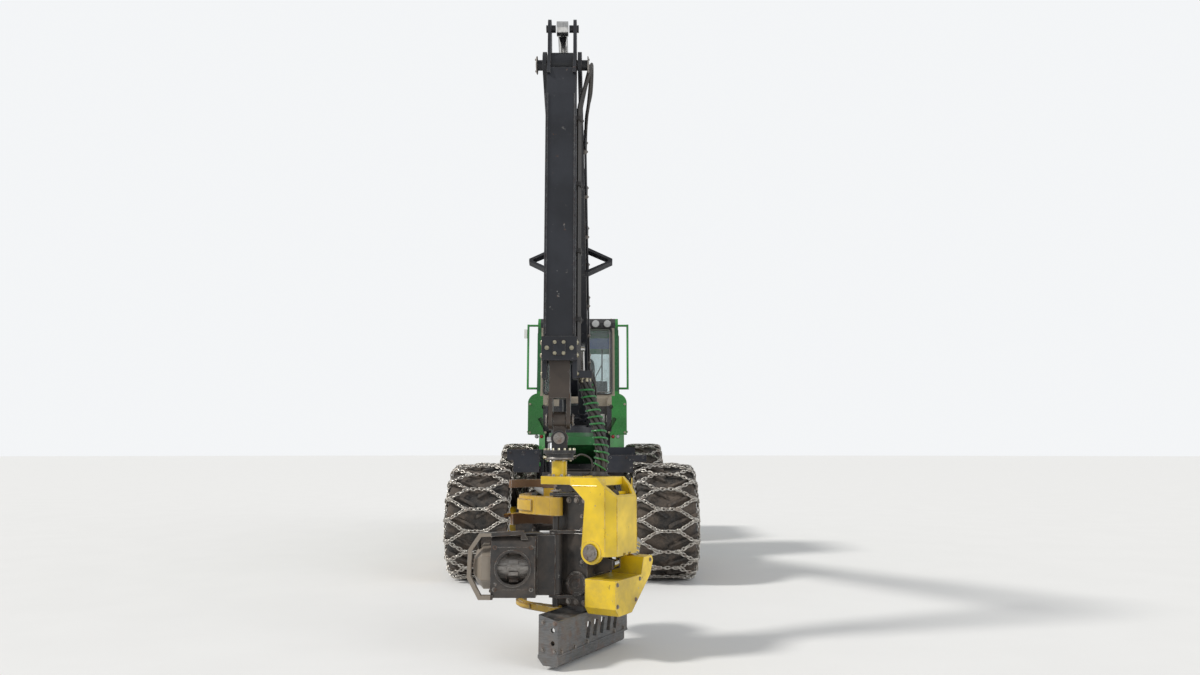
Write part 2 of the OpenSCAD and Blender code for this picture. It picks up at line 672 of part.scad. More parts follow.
// Yellow cover low on the head's back, drawn out to a point over the saw motor
module head_covers() in_head() {
    low_y = hanger_back_y - 14;
    front = head_pivot[0] + 62;
    top = head_pivot[1] - 196;
    wall = 12;
    color(yellow) difference() {
        translate([0, front, 0]) rotate([90, 0, 0]) linear_extrude(front - low_y)
            polygon([[-205, 400], [-205, top], [205, top], [250, top + 128], [392, top + 128], [415, top + 86],
                [362, top - 20], [45, 345], [-160, 345]]);
        translate([0, front + 1, 0]) rotate([90, 0, 0]) linear_extrude(front - low_y - wall)
            polygon([[-205 + wall, 405], [-205 + wall, top - wall], [205, top - wall], [258, top + 116],
                [385, top + 116], [402, top + 84], [352, top - 16], [42, 357], [-155, 357]]);
    }
    // Ribbed guard of the saw's hoses on the point
    color("#70746f") translate([322, -470, top + 120]) rotate([0, 24, 0]) {
        cylinder(h = 120, r = 62);
        for (z = [36, 68, 100]) translate([0, 0, z]) cylinder(h = 14, r = 70);
        translate([0, 0, 119]) cylinder(h = 34, r1 = 62, r2 = 34);
    }
}

// Children turned about the claw pin, opening by a; right is the +X side of the head
module about_claw(a, right) in_head() mirror([right ? 0 : 1, 0, 0])
    translate([claw_pin[0], claw_pin[1], 0]) rotate([0, 0, -a]) translate([-claw_pin[0], -claw_pin[1], 0]) children();

// Claw seen from above: an arm round the trunk between two angles
module claw_2d(r_in, r_out, from_a, to_a) intersection() {
    difference() {
        translate([0, trunk_y]) circle(r_out);
        translate([0, trunk_y + 14]) circle(r_in);
    }
    translate([0, trunk_y]) polygon([[0, 0], 2 * r_out * [cos(from_a), sin(from_a)],
        2 * r_out * [cos((2 * from_a + to_a) / 3), sin((2 * from_a + to_a) / 3)],
        2 * r_out * [cos((from_a + 2 * to_a) / 3), sin((from_a + 2 * to_a) / 3)],
        2 * r_out * [cos(to_a), sin(to_a)]]);
}

// Delimbing knife: a cast claw h high over z, thicker in the middle, its edge standing at the tip
module knife(z, h) difference() {
    union() {
        translate([claw_pin[0], claw_pin[1], z]) cylinder(h = h, r = 52);
        translate([0, 0, z]) linear_extrude(h) {
            claw_2d(286, 330, -34, 58);
            link_2d(claw_pin, [272, 66], 42, 27);
        }
        translate([0, 0, z + 0.2 * h]) linear_extrude(0.6 * h) claw_2d(290, 344, -20, 36);
        translate([0, 0, z + 0.7 * h]) linear_extrude(0.3 * h) claw_2d(318, 332, 40, 74);
    }
    translate([claw_pin[0], claw_pin[1], z - 10]) cylinder(h = h + 20, r = claw_pin_r + fit);
}
knife_gap = 8;
far_knife_z = arm_top_z + gap + deck_t + knife_gap;
far_knife_h = 92;
near_knife_z = far_knife_z + far_knife_h + knife_gap;
near_knife_h = spine_top_z - deck_t - knife_gap - near_knife_z;
top_blade_z = spine_top_z + 22;
top_blade_h = 66;
module upper_knife_left() color("#8a6b45") about_claw(-knife_close, true) {
    knife(far_knife_z, far_knife_h);
    // Upper blade, on a web outside the decks
    translate([0, 0, top_blade_z]) linear_extrude(top_blade_h) claw_2d(290, 330, -16, 62);
    translate([0, 0, far_knife_z]) linear_extrude(top_blade_z - far_knife_z + 10) claw_2d(292, 330, -14, 4);
}
module upper_knife_right() color("#c79a2b") about_claw(-knife_close, false) knife(near_knife_z, near_knife_h);
lower_knife_z = spine_low_z + deck_t + knife_gap;
lower_knife_h = (arm_low_z - gap - deck_t - lower_knife_z - 2 * knife_gap) / 2;
module lower_knife_left() color("#c79a2b") about_claw(-knife_close, true)
    knife(lower_knife_z + lower_knife_h + knife_gap, lower_knife_h);
module lower_knife_right() color("#8a6b45") about_claw(-knife_close, false) knife(lower_knife_z, lower_knife_h);

// Face of the feed arm's end plates: X and Z, its outer corners cut off
arm_plate = 24;
arm_out_x = roller_x + roller_r + gap;
module arm_face_2d(x0) polygon([[x0, arm_low_z], [arm_out_x - 55, arm_low_z], [arm_out_x + 18, arm_low_z + 70],
    [arm_out_x + 18, arm_top_z - 70], [arm_out_x - 55, arm_top_z], [x0, arm_top_z]]);
module across(y, t) translate([0, y + t, 0]) rotate([90, 0, 0]) linear_extrude(t) children();

// Feed arm: sleeve on the claw pin, rounded frame round the roller, motor housing and bow guard
module feed_arm(right) about_claw(arm_open, right) {
    front_y = roller_y + roller_len + gap;
    rear_y = roller_y - gap - arm_plate;
    end_y = front_y + arm_plate;
    color(black) difference() {
        union() {
            translate([claw_pin[0], claw_pin[1], arm_low_z]) cylinder(h = arm_top_z - arm_low_z, r = 50);
            translate([claw_pin[0] - 14, claw_pin[1], arm_low_z]) cube([110, rear_y - claw_pin[1] + 5, arm_top_z - arm_low_z]);
            across(rear_y, arm_plate) arm_face_2d(claw_pin[0] - 14);
            across(front_y, arm_plate) arm_face_2d(roller_x - 20);
            // Outer wall, top and bottom walls with bent corners
            difference() {
                across(rear_y, end_y - rear_y) arm_face_2d(arm_out_x - 170);
                across(rear_y - 1, end_y - rear_y + 2) offset(delta = -18) arm_face_2d(arm_out_x - 400);
                translate([arm_out_x - 5, (rear_y + end_y) / 2, roller_z]) rotate([0, 90, 0]) cylinder(h = 40, r = 118);
            }
        }
        translate([claw_pin[0], claw_pin[1], 0]) cylinder(h = 2000, r = claw_pin_r + fit);
        translate([roller_x, rear_y - 1, roller_z]) rotate([-90, 0, 0]) cylinder(h = 10, r = 60);
    }
    // Roller's axle and the hexagonal housing of its motor
    color(steel) translate([roller_x, rear_y + 10, roller_z]) rotate([-90, 0, 0]) cylinder(h = end_y - rear_y - 10, r = 36);
    color("#6b6459") translate([roller_x + 20, end_y, roller_z]) rotate([-90, 30, 0]) {
        cylinder(h = 70, r = 172, $fn = 6);
        translate([0, 0, 70]) cylinder(h = 55, r1 = 172, r2 = 112, $fn = 6);
    }
    // Bow guard of the hoses round the housing
    color(black) {
        across_x = arm_out_x - 60;
        side_plate(across_x, across_x + 44) difference() {
            polygon([[rear_y + 60, arm_top_z - 20], [rear_y + 90, arm_top_z + 46], [end_y + 90, arm_top_z + 30],
                [end_y + 172, arm_top_z - 90], [end_y + 178, arm_low_z + 150], [end_y + 90, arm_low_z - 8],
                [end_y - 14, arm_low_z - 8], [end_y - 14, arm_low_z + 24], [end_y + 72, arm_low_z + 24],
                [end_y + 150, arm_low_z + 160], [end_y + 144, arm_top_z - 100], [end_y + 76, arm_top_z],
                [rear_y + 110, arm_top_z + 14], [rear_y + 110, arm_top_z - 20]]);
        }
    }
}
module feed_arm_left() feed_arm(true);
module feed_arm_right() feed_arm(false);

// Feed roller on its axle across the trunk, with rows of studs
module feed_roller(right) about_claw(arm_open, right)
    translate([roller_x, roller_y, roller_z]) rotate([-90, 0, 0]) color("#4a4744")
        difference() {
            union() {
                cylinder(h = roller_len, r = roller_r - 22);
                for (i = [0:11], k = [0:2]) rotate((i + (k % 2) / 2) * 30) translate([roller_r - 40, -13, 12 + k * 86])
                    cube([38, 26, 70]);
            }
            translate([0, 0, -5]) cylinder(h = roller_len + 10, r = 36 + fit);
        }
module feed_roller_left() feed_roller(true);
module feed_roller_right() feed_roller(false);

// Saw box under the spine: end cheeks, slotted back, bottom shoe, saw motor at one end
module saw_box() in_head() color("#8a8782") {
    half = saw_box_len / 2;
    low_z = head_floor_z + 70;
    difference() {
        side_plate(-half, half) polygon([[saw_back, low_z], [saw_back, 345], [saw_front, saw_top_z - 12],
            [saw_front, low_z]]);
        translate([-half + 24, saw_back + 22, low_z + 22]) cube([saw_box_len - 48, 400, 180]);
        // Chip slots in the back wall
        for (i = [-1:3]) translate([i * 105 - 30, saw_back - 5, low_z + 60]) rotate([0, 14, 0]) cube([52, 40, 120]);
        // Two holes in each end wall
        for (z = [190, 280]) translate([-half - 5, (saw_back + saw_front) / 2 - 40, z]) rotate([0, 90, 0])
            cylinder(h = 40, r = 17);
    }
    // Wedge shoe under the box
    side_plate(-half, half - 60) polygon([[saw_back - 6, low_z], [saw_front + 6, low_z], [saw_front + 6, low_z - 22],
        [saw_front - 40, head_floor_z], [saw_back + 10, head_floor_z], [saw_back - 6, head_floor_z + 14]]);
    // Shoulders up to the spine
    translate([-160, saw_back + 10, 340]) cube([320, saw_front - saw_back - 22, saw_top_z - 340]);
    // Saw motor and its pin
    translate([saw_pin[0], saw_pin[1], 350]) cylinder(h = 120, r = 66);
    translate([saw_pin[0], saw_pin[1], 469]) cylinder(h = 30, r1 = 66, r2 = 46);
    translate([saw_pin[0], saw_pin[1], low_z + 10]) cylinder(h = 260, r = 30);
}

// Saw bar: swings out of its box
module saw_bar() in_head() color(chrome) translate([0, 0, head_floor_z + 130]) difference() {
    union() {
        translate([saw_pin[0], saw_pin[1], 0]) cylinder(h = 14, r = 60);
        translate([-440, saw_pin[1] + 14, 0]) cylinder(h = 14, r = 42);
        linear_extrude(14) polygon([[saw_pin[0], saw_pin[1] - 59], [-440, saw_pin[1] - 27],
            [-440, saw_pin[1] + 55], [saw_pin[0], saw_pin[1] + 59]]);
    }
    translate([saw_pin[0], saw_pin[1], -5]) cylinder(h = 30, r = 30 + fit);
}

// Cab on its turning base
cab_front_y = 850;
cab_back_y = 2340;
door_y = [1010, 1890];
door_z = [1900, 3380];
glass_t = 10;
door_gap = 6;
door_hinge = [cab_half_w + 24, door_y[1] - door_gap];
hinge_z = [2050, 3150];

// Side view of the cab, shrunk by m on every side
module cab_outline(m) polygon([[cab_front_y + m, cab_z + m], [cab_front_y - 50 + m, 2330],
    [cab_front_y + 70 + m, roof_z - 70 - m * 0.3], [cab_front_y + 130 + m, roof_z - m],
    [cab_back_y - 90 - m, roof_z - m], [cab_back_y - m, roof_z - 90 - m * 0.5],
    [cab_back_y - m, cab_z + m]]);

// Openings in the cab's walls: front, left and right, back
module cab_openings(m) {
    half_front = cab_half_w - 95 - m;
    translate([-half_front, cab_front_y - 200, 2390 + m]) cube([2 * half_front, 500, 1000 - 2 * m]);
    translate([-half_front, cab_back_y - 200, 2300 + m]) cube([2 * half_front, 400, 1020 - 2 * m]);
    // Right side window behind and before the pillar
    translate([-cab_half_w - 50, 1010 + m, 2300 + m]) cube([150, 880 - 2 * m, 1040 - 2 * m]);
    for (side = [-1, 1]) translate([side * cab_half_w - 75, 1975 + m, 2300 + m])
        cube([150, 260 - 2 * m, 1040 - 2 * m]);
    // Roof window
    translate([-330 + m, 1150 + m, roof_z - 200]) cube([660 - 2 * m, 500 - 2 * m, 400]);
}

// Turning base: ring in the frame's seat and the black service box over it
module cab_base() color("#23242a") {
    translate([0, cab_y, deck_z + 110 + seat]) cylinder(h = 60, r = 400);
    difference() {
        side_plate(-480, 480) polygon([[1020, deck_z + 150], [2200, deck_z + 150], [2280, cab_z], [900, cab_z],
            [900, 1600]]);
        // Hand recesses in the front face
        for (x = [-300, 60]) translate([x, 880, 1660]) cube([240, 40, 130]);
    }
}

// Cab shell: hollow, with its windows and doorway cut, corner covers and handrails
module cab_shell() {
    color(green) difference() {
        side_plate(-cab_half_w, cab_half_w) cab_outline(0);
        side_plate(-cab_half_w + cab_wall, cab_half_w - cab_wall) cab_outline(cab_wall);
        cab_openings(0);
        // Doorway in the left wall
        translate([cab_half_w - cab_wall - 30, door_y[0], door_z[0]])
            cube([cab_wall + 60, door_y[1] - door_y[0], door_z[1] - door_z[0]]);
    }
    // Corner covers before and beside the cab's foot
    color(green) both() difference() {
        translate([cab_half_w - 170, 0, 0]) union() {
            translate([0, 745, 1800]) cube([290, 54, 470]);
            translate([0, 770, 2270]) rotate([90, 0, 0]) translate([0, 0, -29]) linear_extrude(54)
                intersection() {
                    translate([145, -20]) circle(147);
                    square([290, 200]);
                }
            translate([182, 745, 1800]) cube([108, 250, 470]);
        }
        translate([cab_half_w - 110, 700, 2200]) rotate([-90, 0, 0]) cylinder(h = 150, r = 32);
        translate([cab_half_w - 220, 700, 1790]) rotate([0, 28, 0]) cube([60, 150, 300]);
    }
    color(green) both() {
        translate([cab_half_w, 800, 1830]) cube([30, 160, 60]);
        // Bent handrails off the front corners
        for (z = [2480, 3420]) translate([cab_half_w - 10, 880, z]) rotate([0, 90, 0]) cylinder(h = 150, r = 16);
        translate([cab_half_w + 140, 880, 2464]) cylinder(h = 972, r = 16);
    }
    // Door hinges' brackets and pins
    color(black) for (z = hinge_z) {
        for (end = [z - 12, z + 92]) translate([cab_half_w - 2, door_hinge[1] + 8, end]) union() {
            cube([door_hinge[0] - cab_half_w + 12, 40, 10]);
            translate([24 - 10, -18, 0]) cube([22, 20, 10]);
        }
        translate([door_hinge[0], door_hinge[1], z - 12]) cylinder(h = 114, r = 8);
    }
    // Blue sun band behind the upper windscreen
    color("#1f3f86") translate([48 - cab_half_w, cab_front_y + 82, 3000]) rotate([-6, 0, 0])
        cube([2 * (cab_half_w - 48), 12, 240]);
    // Mirror box on the right rail
    color("#d9d9d6") translate([-cab_half_w - 200, 858, 3230]) cube([60, 44, 130]);
}

// Panes of the cab, thinner than the walls
module cab_glass() color("#24404a") difference() {
    intersection() {
        cab_openings(0.5);
        difference() {
            side_plate(-cab_half_w + 20, cab_half_w - 20) cab_outline(20);
            side_plate(-cab_half_w + 20 + glass_t, cab_half_w - 20 - glass_t) cab_outline(20 + glass_t);
        }
    }
    // The doorway holds the door's own pane
    translate([cab_half_w - 100, door_y[0], door_z[0]])
        cube([200, door_y[1] - door_y[0], door_z[1] - door_z[0]]);
}

// Door on the machine's left side, hinged at its rear edge
module door_window(m) translate([cab_half_w - 100, door_y[0] + 75 + m, 2260 + m])
    cube([200, door_y[1] - door_y[0] - 150 - 2 * m, 1040 - 2 * m]);
module cab_door() {
    y0 = door_y[0] + door_gap;
    y1 = door_y[1] - door_gap;
    color(green) difference() {
        translate([cab_half_w - cab_wall + 8, y0, door_z[0] + door_gap])
            cube([cab_wall, y1 - y0, door_z[1] - door_z[0] - 2 * door_gap]);
        door_window(0);
    }
    color(black) {
        // Hinge knuckles and the grab handle
        for (z = hinge_z) difference() {
            union() {
                translate([door_hinge[0], door_hinge[1], z]) cylinder(h = 90, r = 15);
                translate([cab_half_w, door_hinge[1] - 50, z]) cube([door_hinge[0] - cab_half_w, 50, 90]);
            }
            translate([door_hinge[0], door_hinge[1], z - 5]) cylinder(h = 100, r = 8 + fit);
        }
        translate([cab_half_w + 34, y0 + 60, 2080]) cube([14, 26, 150]);
        for (z = [2080, 2210]) translate([cab_half_w + 6, y0 + 60, z]) cube([34, 26, 20]);
    }
}
module cab_door_glass() color("#24404a") intersection() {
    door_window(0.5);
    translate([cab_half_w - 30, 0, 0]) cube([glass_t, 4000, 4000]);
}

// Round work lamps in two rows on the roof's front edge
module cab_lamps() color("#e9e7da") {
    for (i = [-5:2:5]) translate([i * (cab_half_w - 160) / 5, cab_front_y + 54, roof_z - 90]) rotate([90, 0, 0]) {
        cylinder(h = 46, r = 62);
        translate([0, 0, -10.7]) cylinder(h = 20, r = 26);
    }
    for (side = [-1, 1]) translate([side * (cab_half_w - 170), cab_back_y + seat, roof_z - 170]) rotate([-90, 0, 0])
        cylinder(h = 50, r = 50);
    // Small lamps under the corner covers
    for (side = [-1, 1], x = [cab_half_w - 80, cab_half_w - 10]) translate([side * x, 800, 1800 - 28 - seat])
        rotate([90, 0, 0]) cylinder(h = 50, r = 28);
}

// Seat and arm consoles
module cab_seat() {
    floor_z = cab_z + cab_wall;
    color("#2b2b30") {
        translate([0, 1650, floor_z]) cylinder(h = 330, r = 90);
        translate([-260, 1400, floor_z + 330]) cube([520, 520, 120]);
        translate([-250, 1850, floor_z + 450]) rotate([-10, 0, 0]) cube([500, 110, 720]);
        translate([-130, 1985, floor_z + 1130]) rotate([-10, 0, 0]) cube([260, 90, 190]);
        for (side = [-1, 1]) {
            translate([side * 345 - 70, 1330, floor_z + 560]) cube([140, 480, 60]);
            translate([side * 330 - 30, 1650, floor_z + 400]) cube([60, 120, 170]);
            translate([side * 290 - 40, 1650, floor_z + 360]) cube([80, 120, 60]);
            translate([side * 345, 1380, floor_z + 620]) cylinder(h = 120, r = 18);
        }
    }
}

// Rear frame: neck on the steering joint, box, axle housing, bumper and tow clevis
module rear_frame() {
    color(black) difference() {
        union() {
            translate([0, steer_y, belly_z + 96]) cylinder(h = deck_z - belly_z - 232, r = 150);
            side_plate(-110, 110) polygon([[steer_y, belly_z + 96], [steer_y + 220, belly_z + 96],
                [2900, belly_z + 60], [2900, deck_z - 40], [steer_y + 220, deck_z - 136],
                [steer_y, deck_z - 136]]);
            // Frame box, tapered towards the neck in plan
            translate([0, 0, belly_z + 60]) linear_extrude(deck_z - belly_z - 60) polygon([[-110, 2600],
                [110, 2600], [frame_half_w, 3050], [frame_half_w, hood_y1], [-frame_half_w, hood_y1],
                [-frame_half_w, 3050]]);
            translate([0, 0, deck_z - 30]) linear_extrude(30) hood_plan(10);
            cross_bar([rear_axle_y, rear_axle_z], 165, -600, 600);
            cross_bar([rear_axle_y, rear_axle_z], 120, -hub_x + gap, hub_x - gap);
            // Steering cylinders' lugs
            both() for (z = [-72, 42]) translate([0, 0, steer_cyl_z + z]) linear_extrude(30)
                polygon([[60, 2330], [steer_cyl_eye[0] - 40, 2290], [steer_cyl_eye[0] + 55, 2300],
                    [steer_cyl_eye[0] + 55, 2400], [200, 2560], [60, 2600]]);
            // Bumper with the tow clevis
            translate([-980, hood_y1, 760]) cube([1960, 90, 420]);
            for (z = [-75, 35]) translate([-90, hood_y1 + 40, 900 + z]) cube([180, 200, 40]);
            for (z = [-75, 35]) translate([0, hood_y1 + 240, 900 + z]) cylinder(h = 40, r = 90);
        }
        translate([0, steer_y, 0]) cylinder(h = 3000, r = steer_pin_r + fit);
        translate([0, hood_y1 + 240, 700]) cylinder(h = 400, r = 32);
    }
    color(black) cross_bar([rear_axle_y, rear_axle_z], axle_r, -hub_x - 190, hub_x + 190);
}

// Engine as one plain block
module engine() color("#6f7174") translate([-380, 3300, deck_z]) cube([760, 1500, 900]);

// Plan of the hood, shrunk by m
module hood_plan(m) polygon([[-450 + m * 0.4, hood_y0 + m], [450 - m * 0.4, hood_y0 + m],
    [hood_half_w - m, hood_y0 + 520 + m * 0.4], [hood_half_w - m, hood_y1 - 200],
    [hood_half_w - 80 - m, hood_y1 - m], [-hood_half_w + 80 + m, hood_y1 - m],
    [-hood_half_w + m, hood_y1 - 200], [-hood_half_w + m, hood_y0 + 520 + m * 0.4]]);

// Hood's fixed walls with the grilles of the radiator and the rear
module hood() {
    color(green) difference() {
        translate([0, 0, deck_z]) linear_extrude(hood_z - deck_z) hood_plan(0);
        translate([0, 0, deck_z - 1]) linear_extrude(hood_z - deck_z + 2) hood_plan(hood_wall);
        // Side grilles
        for (side = [-1, 1], i = [0:8]) translate([side * hood_half_w - 60, 3760, deck_z + 330 + i * 75])
            cube([120, 1150, 40]);
        // Rear grille
        for (i = [0:9]) translate([-520, hood_y1 - 60, deck_z + 220 + i * 80]) cube([1040, 120, 42]);
    }
    // Radiator's plain block behind the rear grille
    color("#303236") translate([-560, hood_y1 - 210, deck_z]) cube([1120, 130, 1000]);
    // Lid hinges' brackets and pins
    color(black) both() {
        for (x = [lid_hinge_x - 18, lid_hinge_x + 62]) side_plate(x, x + 16) polygon([
            [hood_y1 - 2, hood_z - 60], [hood_y1 + 38, hood_z - 40], [hood_y1 + 38, hood_z + 14],
            [hood_y1 + 5, hood_z + 14], [hood_y1 + 5, hood_z - 2], [hood_y1 - 2, hood_z - 2]]);
        cross_bar(lid_hinge, 8, lid_hinge_x - 18, lid_hinge_x + 78);
    }
    // Rear lamps
    color("#9c2a22") both() translate([560, hood_y1 - 30, deck_z + 60]) cube([100, 50, 160]);
}

// Hood lid: hinged at its rear edge
lid_z = hood_z + seat;
lid_hinge = [hood_y1 + 24, lid_z];
lid_hinge_x = 430;
module hood_lid() color(green) difference() {
    union() {
        both() {
            cross_bar(lid_hinge, 17, lid_hinge_x, lid_hinge_x + 60);
            translate([lid_hinge_x, hood_y1 - 20, lid_z + 3]) cube([60, 44, 14]);
        }
        translate([0, 0, lid_z]) linear_extrude(70) hood_plan(0);
        translate([0, 0, lid_z + 70]) linear_extrude(60) hood_plan(90);
    }
    translate([0, 0, lid_z - 1]) linear_extrude(50) hood_plan(hood_wall);
    cross_bar(lid_hinge, 8 + fit, -600, 600);
    // Exhaust and air slots
    for (i = [0:5]) translate([-300, 3500 + i * 110, lid_z - 10]) cube([600, 50, 200]);
}

// Steering cylinders between the frames, one on each side of the joint
steer_len = dist(steer_cyl_foot, steer_cyl_eye);
steer_turn = atan2(steer_cyl_eye[0] - steer_cyl_foot[0], steer_cyl_eye[1] - steer_cyl_foot[1]);
module steer_side(right) mirror([right ? 1 : 0, 0, 0])
    translate([steer_cyl_foot[0], steer_cyl_foot[1], steer_cyl_z])
        rotate([0, 0, -steer_turn]) rotate([-90, 0, 0]) rotate([0, 0, 90]) rotate([0, 0, 0]) children();
module steer_barrel(right) color(black) steer_side(right) barrel(48, 640, 30, 44, 76, 25);
module steer_rod(right) color(chrome) steer_side(right)
    translate([0, 0, steer_len]) rod(750, 30, 44, 70);
module steer_barrel_left() steer_barrel(false);
module steer_barrel_right() steer_barrel(true);
module steer_rod_left() steer_rod(false);
module steer_rod_right() steer_rod(true);

// Hose bundle from the stick's collar to the head's top: centre points and radius
hose_r = 52;
hose_sides = 10;
hose_from_z = 2150;
hose_to_z = 1400;
// Height of a point of the bundle drawn at z: its ends follow the stick's collar and the head
stick_rise = head_rise + ext_out - 300;
function hose_z(z) = z + head_rise + (stick_rise - head_rise) * (z - hose_to_z) / (hose_from_z - hose_to_z);
hose_path = [[205, stick_y, hose_z(hose_from_z)], [225, stick_y - 6, hose_z(2040)],
    [262, stick_y - 14, hose_z(1920)], [300, stick_y - 24, hose_z(1800)], [328, stick_y - 34, hose_z(1680)],
    [342, stick_y - 44, hose_z(1570)], [340, stick_y - 52, hose_z(1470)],
    [318, stick_y - 58, hose_z(hose_to_z)], [318, stick_y - 58, beam_z + beam_h + head_rise]];
function unit(v) = v / norm(v);
function hose_dir(i) = i == 0 ? [0, 0, -1] : unit(hose_path[min(i + 1, len(hose_path) - 1)] - hose_path[max(i - 1, 0)]);
function hose_ring(i) = let (d = hose_dir(i), u = unit(cross(d, [0, 1, 0])), v = cross(u, d))
    [for (k = [0:hose_sides - 1]) hose_path[i]
        + hose_r * (u * cos(k * 360 / hose_sides) + v * sin(k * 360 / hose_sides))];
module hose_bundle() {
    n = len(hose_path);
    m = hose_sides;
    color("#191a1c") polyhedron(
        points = [for (i = [0:n - 1]) each hose_ring(i)],
        faces = concat([[for (k = [0:m - 1]) k]], [[for (k = [m - 1:-1:0]) (n - 1) * m + k]],
            [for (i = [0:n - 2], k = [0:m - 1])
                [i * m + k, (i + 1) * m + k, (i + 1) * m + (k + 1) % m, i * m + (k + 1) % m]]));
}

// Wheel pieces at their places: x is +1 on the machine's left
module at_wheel(side, y, z) translate([side * track_x, y, z]) mirror([side < 0 ? 1 : 0, 0, 0]) children();
module front_tyre(side, end) at_wheel(side, end * bogie_half, front_axle_z)
    tyre(front_tyre_d, front_tyre_w, front_rim_d, front_lugs);
module front_rim(side, end) at_wheel(side, end * bogie_half, front_axle_z)
    rim(front_rim_d, front_tyre_w, -70);
module rear_tyre(side) at_wheel(side, rear_axle_y, rear_axle_z)
    tyre(rear_tyre_d, rear_tyre_w, rear_rim_d, rear_lugs);
module rear_rim(side) at_wheel(side, rear_axle_y, rear_axle_z) rim(rear_rim_d, rear_tyre_w, -70);

// Every piece, moved so that the origin lies under the machine's middle
module place() translate([0, frame_y, 0]) children();

place() front_frame();
place() bogie_boxes();
place() front_decks();
place() bumper_pipe();
place() front_rim(1, -1);  // rim_front_left_1
place() front_rim(1, 1);  // rim_front_left_2
place() front_rim(-1, -1);  // rim_front_right_1
place() front_rim(-1, 1);  // rim_front_right_2
place() rear_rim(1);  // rim_rear_left
place() rear_rim(-1);  // rim_rear_right
place() front_tyre(1, -1);  // tyre_front_left_1
place() front_tyre(1, 1);  // tyre_front_left_2
place() front_tyre(-1, -1);  // tyre_front_right_1
place() front_tyre(-1, 1);  // tyre_front_right_2
place() rear_tyre(1);  // tyre_rear_left
place() rear_tyre(-1);  // tyre_rear_right
place() tilt_base();
place() tilt_barrels();
place() tilt_rods();
place() slew_pillar();
place() main_boom();
place() lift_barrels();
place() lift_rods();
place() stick();
place() stick_barrel();
place() stick_rod();
place() extension();
place() hanger_link();
place() rotator();
place() head_hanger();
place() head_tilt_barrel();
place() head_tilt_rod();
place() head_frame();
place() head_covers();
place() upper_knife_left();
place() upper_knife_right();
place() feed_arm_left();
place() feed_arm_right();
place() feed_roller_left();
place() feed_roller_right();
place() lower_knife_left();
place() lower_knife_right();
place() saw_box();
place() saw_bar();
place() cab_base();
place() cab_shell();
place() cab_glass();
place() cab_door();
place() cab_door_glass();
place() cab_lamps();
place() cab_seat();
place() rear_frame();
place() engine();
place() hood();
place() hood_lid();
place() steer_barrel_left();
place() steer_barrel_right();
place() steer_rod_left();
place() steer_rod_right();
place() hose_bundle();
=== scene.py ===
"""Six-wheeled forestry harvester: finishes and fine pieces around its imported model."""

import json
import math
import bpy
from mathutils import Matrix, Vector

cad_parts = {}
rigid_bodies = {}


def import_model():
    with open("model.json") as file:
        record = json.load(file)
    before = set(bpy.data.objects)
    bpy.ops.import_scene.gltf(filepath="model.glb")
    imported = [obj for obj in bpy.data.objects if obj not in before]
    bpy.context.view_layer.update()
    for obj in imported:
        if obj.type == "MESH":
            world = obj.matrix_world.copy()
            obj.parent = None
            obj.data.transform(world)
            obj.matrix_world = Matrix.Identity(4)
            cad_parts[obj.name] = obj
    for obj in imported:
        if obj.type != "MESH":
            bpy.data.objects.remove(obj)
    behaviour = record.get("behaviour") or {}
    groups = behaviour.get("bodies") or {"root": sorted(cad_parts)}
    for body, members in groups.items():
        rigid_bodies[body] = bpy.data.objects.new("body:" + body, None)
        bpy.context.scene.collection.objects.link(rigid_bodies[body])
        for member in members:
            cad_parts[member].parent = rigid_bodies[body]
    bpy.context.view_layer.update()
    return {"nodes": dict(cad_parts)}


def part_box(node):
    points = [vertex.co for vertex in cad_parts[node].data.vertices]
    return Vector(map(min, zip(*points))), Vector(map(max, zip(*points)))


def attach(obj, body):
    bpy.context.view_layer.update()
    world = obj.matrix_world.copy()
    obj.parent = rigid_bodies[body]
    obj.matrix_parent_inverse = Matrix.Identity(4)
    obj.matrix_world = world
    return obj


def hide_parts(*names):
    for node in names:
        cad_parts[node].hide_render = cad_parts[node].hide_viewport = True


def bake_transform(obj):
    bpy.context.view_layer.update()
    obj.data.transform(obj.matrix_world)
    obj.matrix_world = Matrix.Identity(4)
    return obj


bl_info = {
    "name": "Forestry Harvester",
    "version": (1, 0, 0),
    "blender": (4, 5, 0),
    "location": "View3D > Sidebar > Harvester",
    "description": "Finishes, tyre chains, hoses, cab fittings and felling head of a forestry harvester",
    "category": "Object",
}

import bmesh
import bpy
from bpy.props import FloatProperty, FloatVectorProperty, IntProperty, PointerProperty
from mathutils import Matrix, Vector, noise

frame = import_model()

# The machine's own frame has y = 0 at the middle of the front bogie
REAR_AXLE_Y = 4.05
REAR_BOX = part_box("rim_rear_left")
SHIFT_Y = (REAR_BOX[0].y + REAR_BOX[1].y) / 2 - REAR_AXLE_Y
HEAD_TURN = math.radians(60)


def at(x, y, z):
    """Point of the machine's own frame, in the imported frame."""
    return Vector((x, y + SHIFT_Y, z))


def middle(node):
    """Middle of a CAD node's box."""
    low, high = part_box(node)
    return (low + high) / 2


ROTATOR = middle("rotator")
HEAD_PLACE = Matrix.Translation((0, ROTATOR.y, 0)) @ Matrix.Rotation(HEAD_TURN, 4, "Z")
# Feed arms in the head's frame: their pin, how far they stand open, where the motors' housings begin
CLAW_PIN = Vector((0.205, -0.105, 0))
ARM_OPEN = math.radians(30)
ARM_END = 0.362


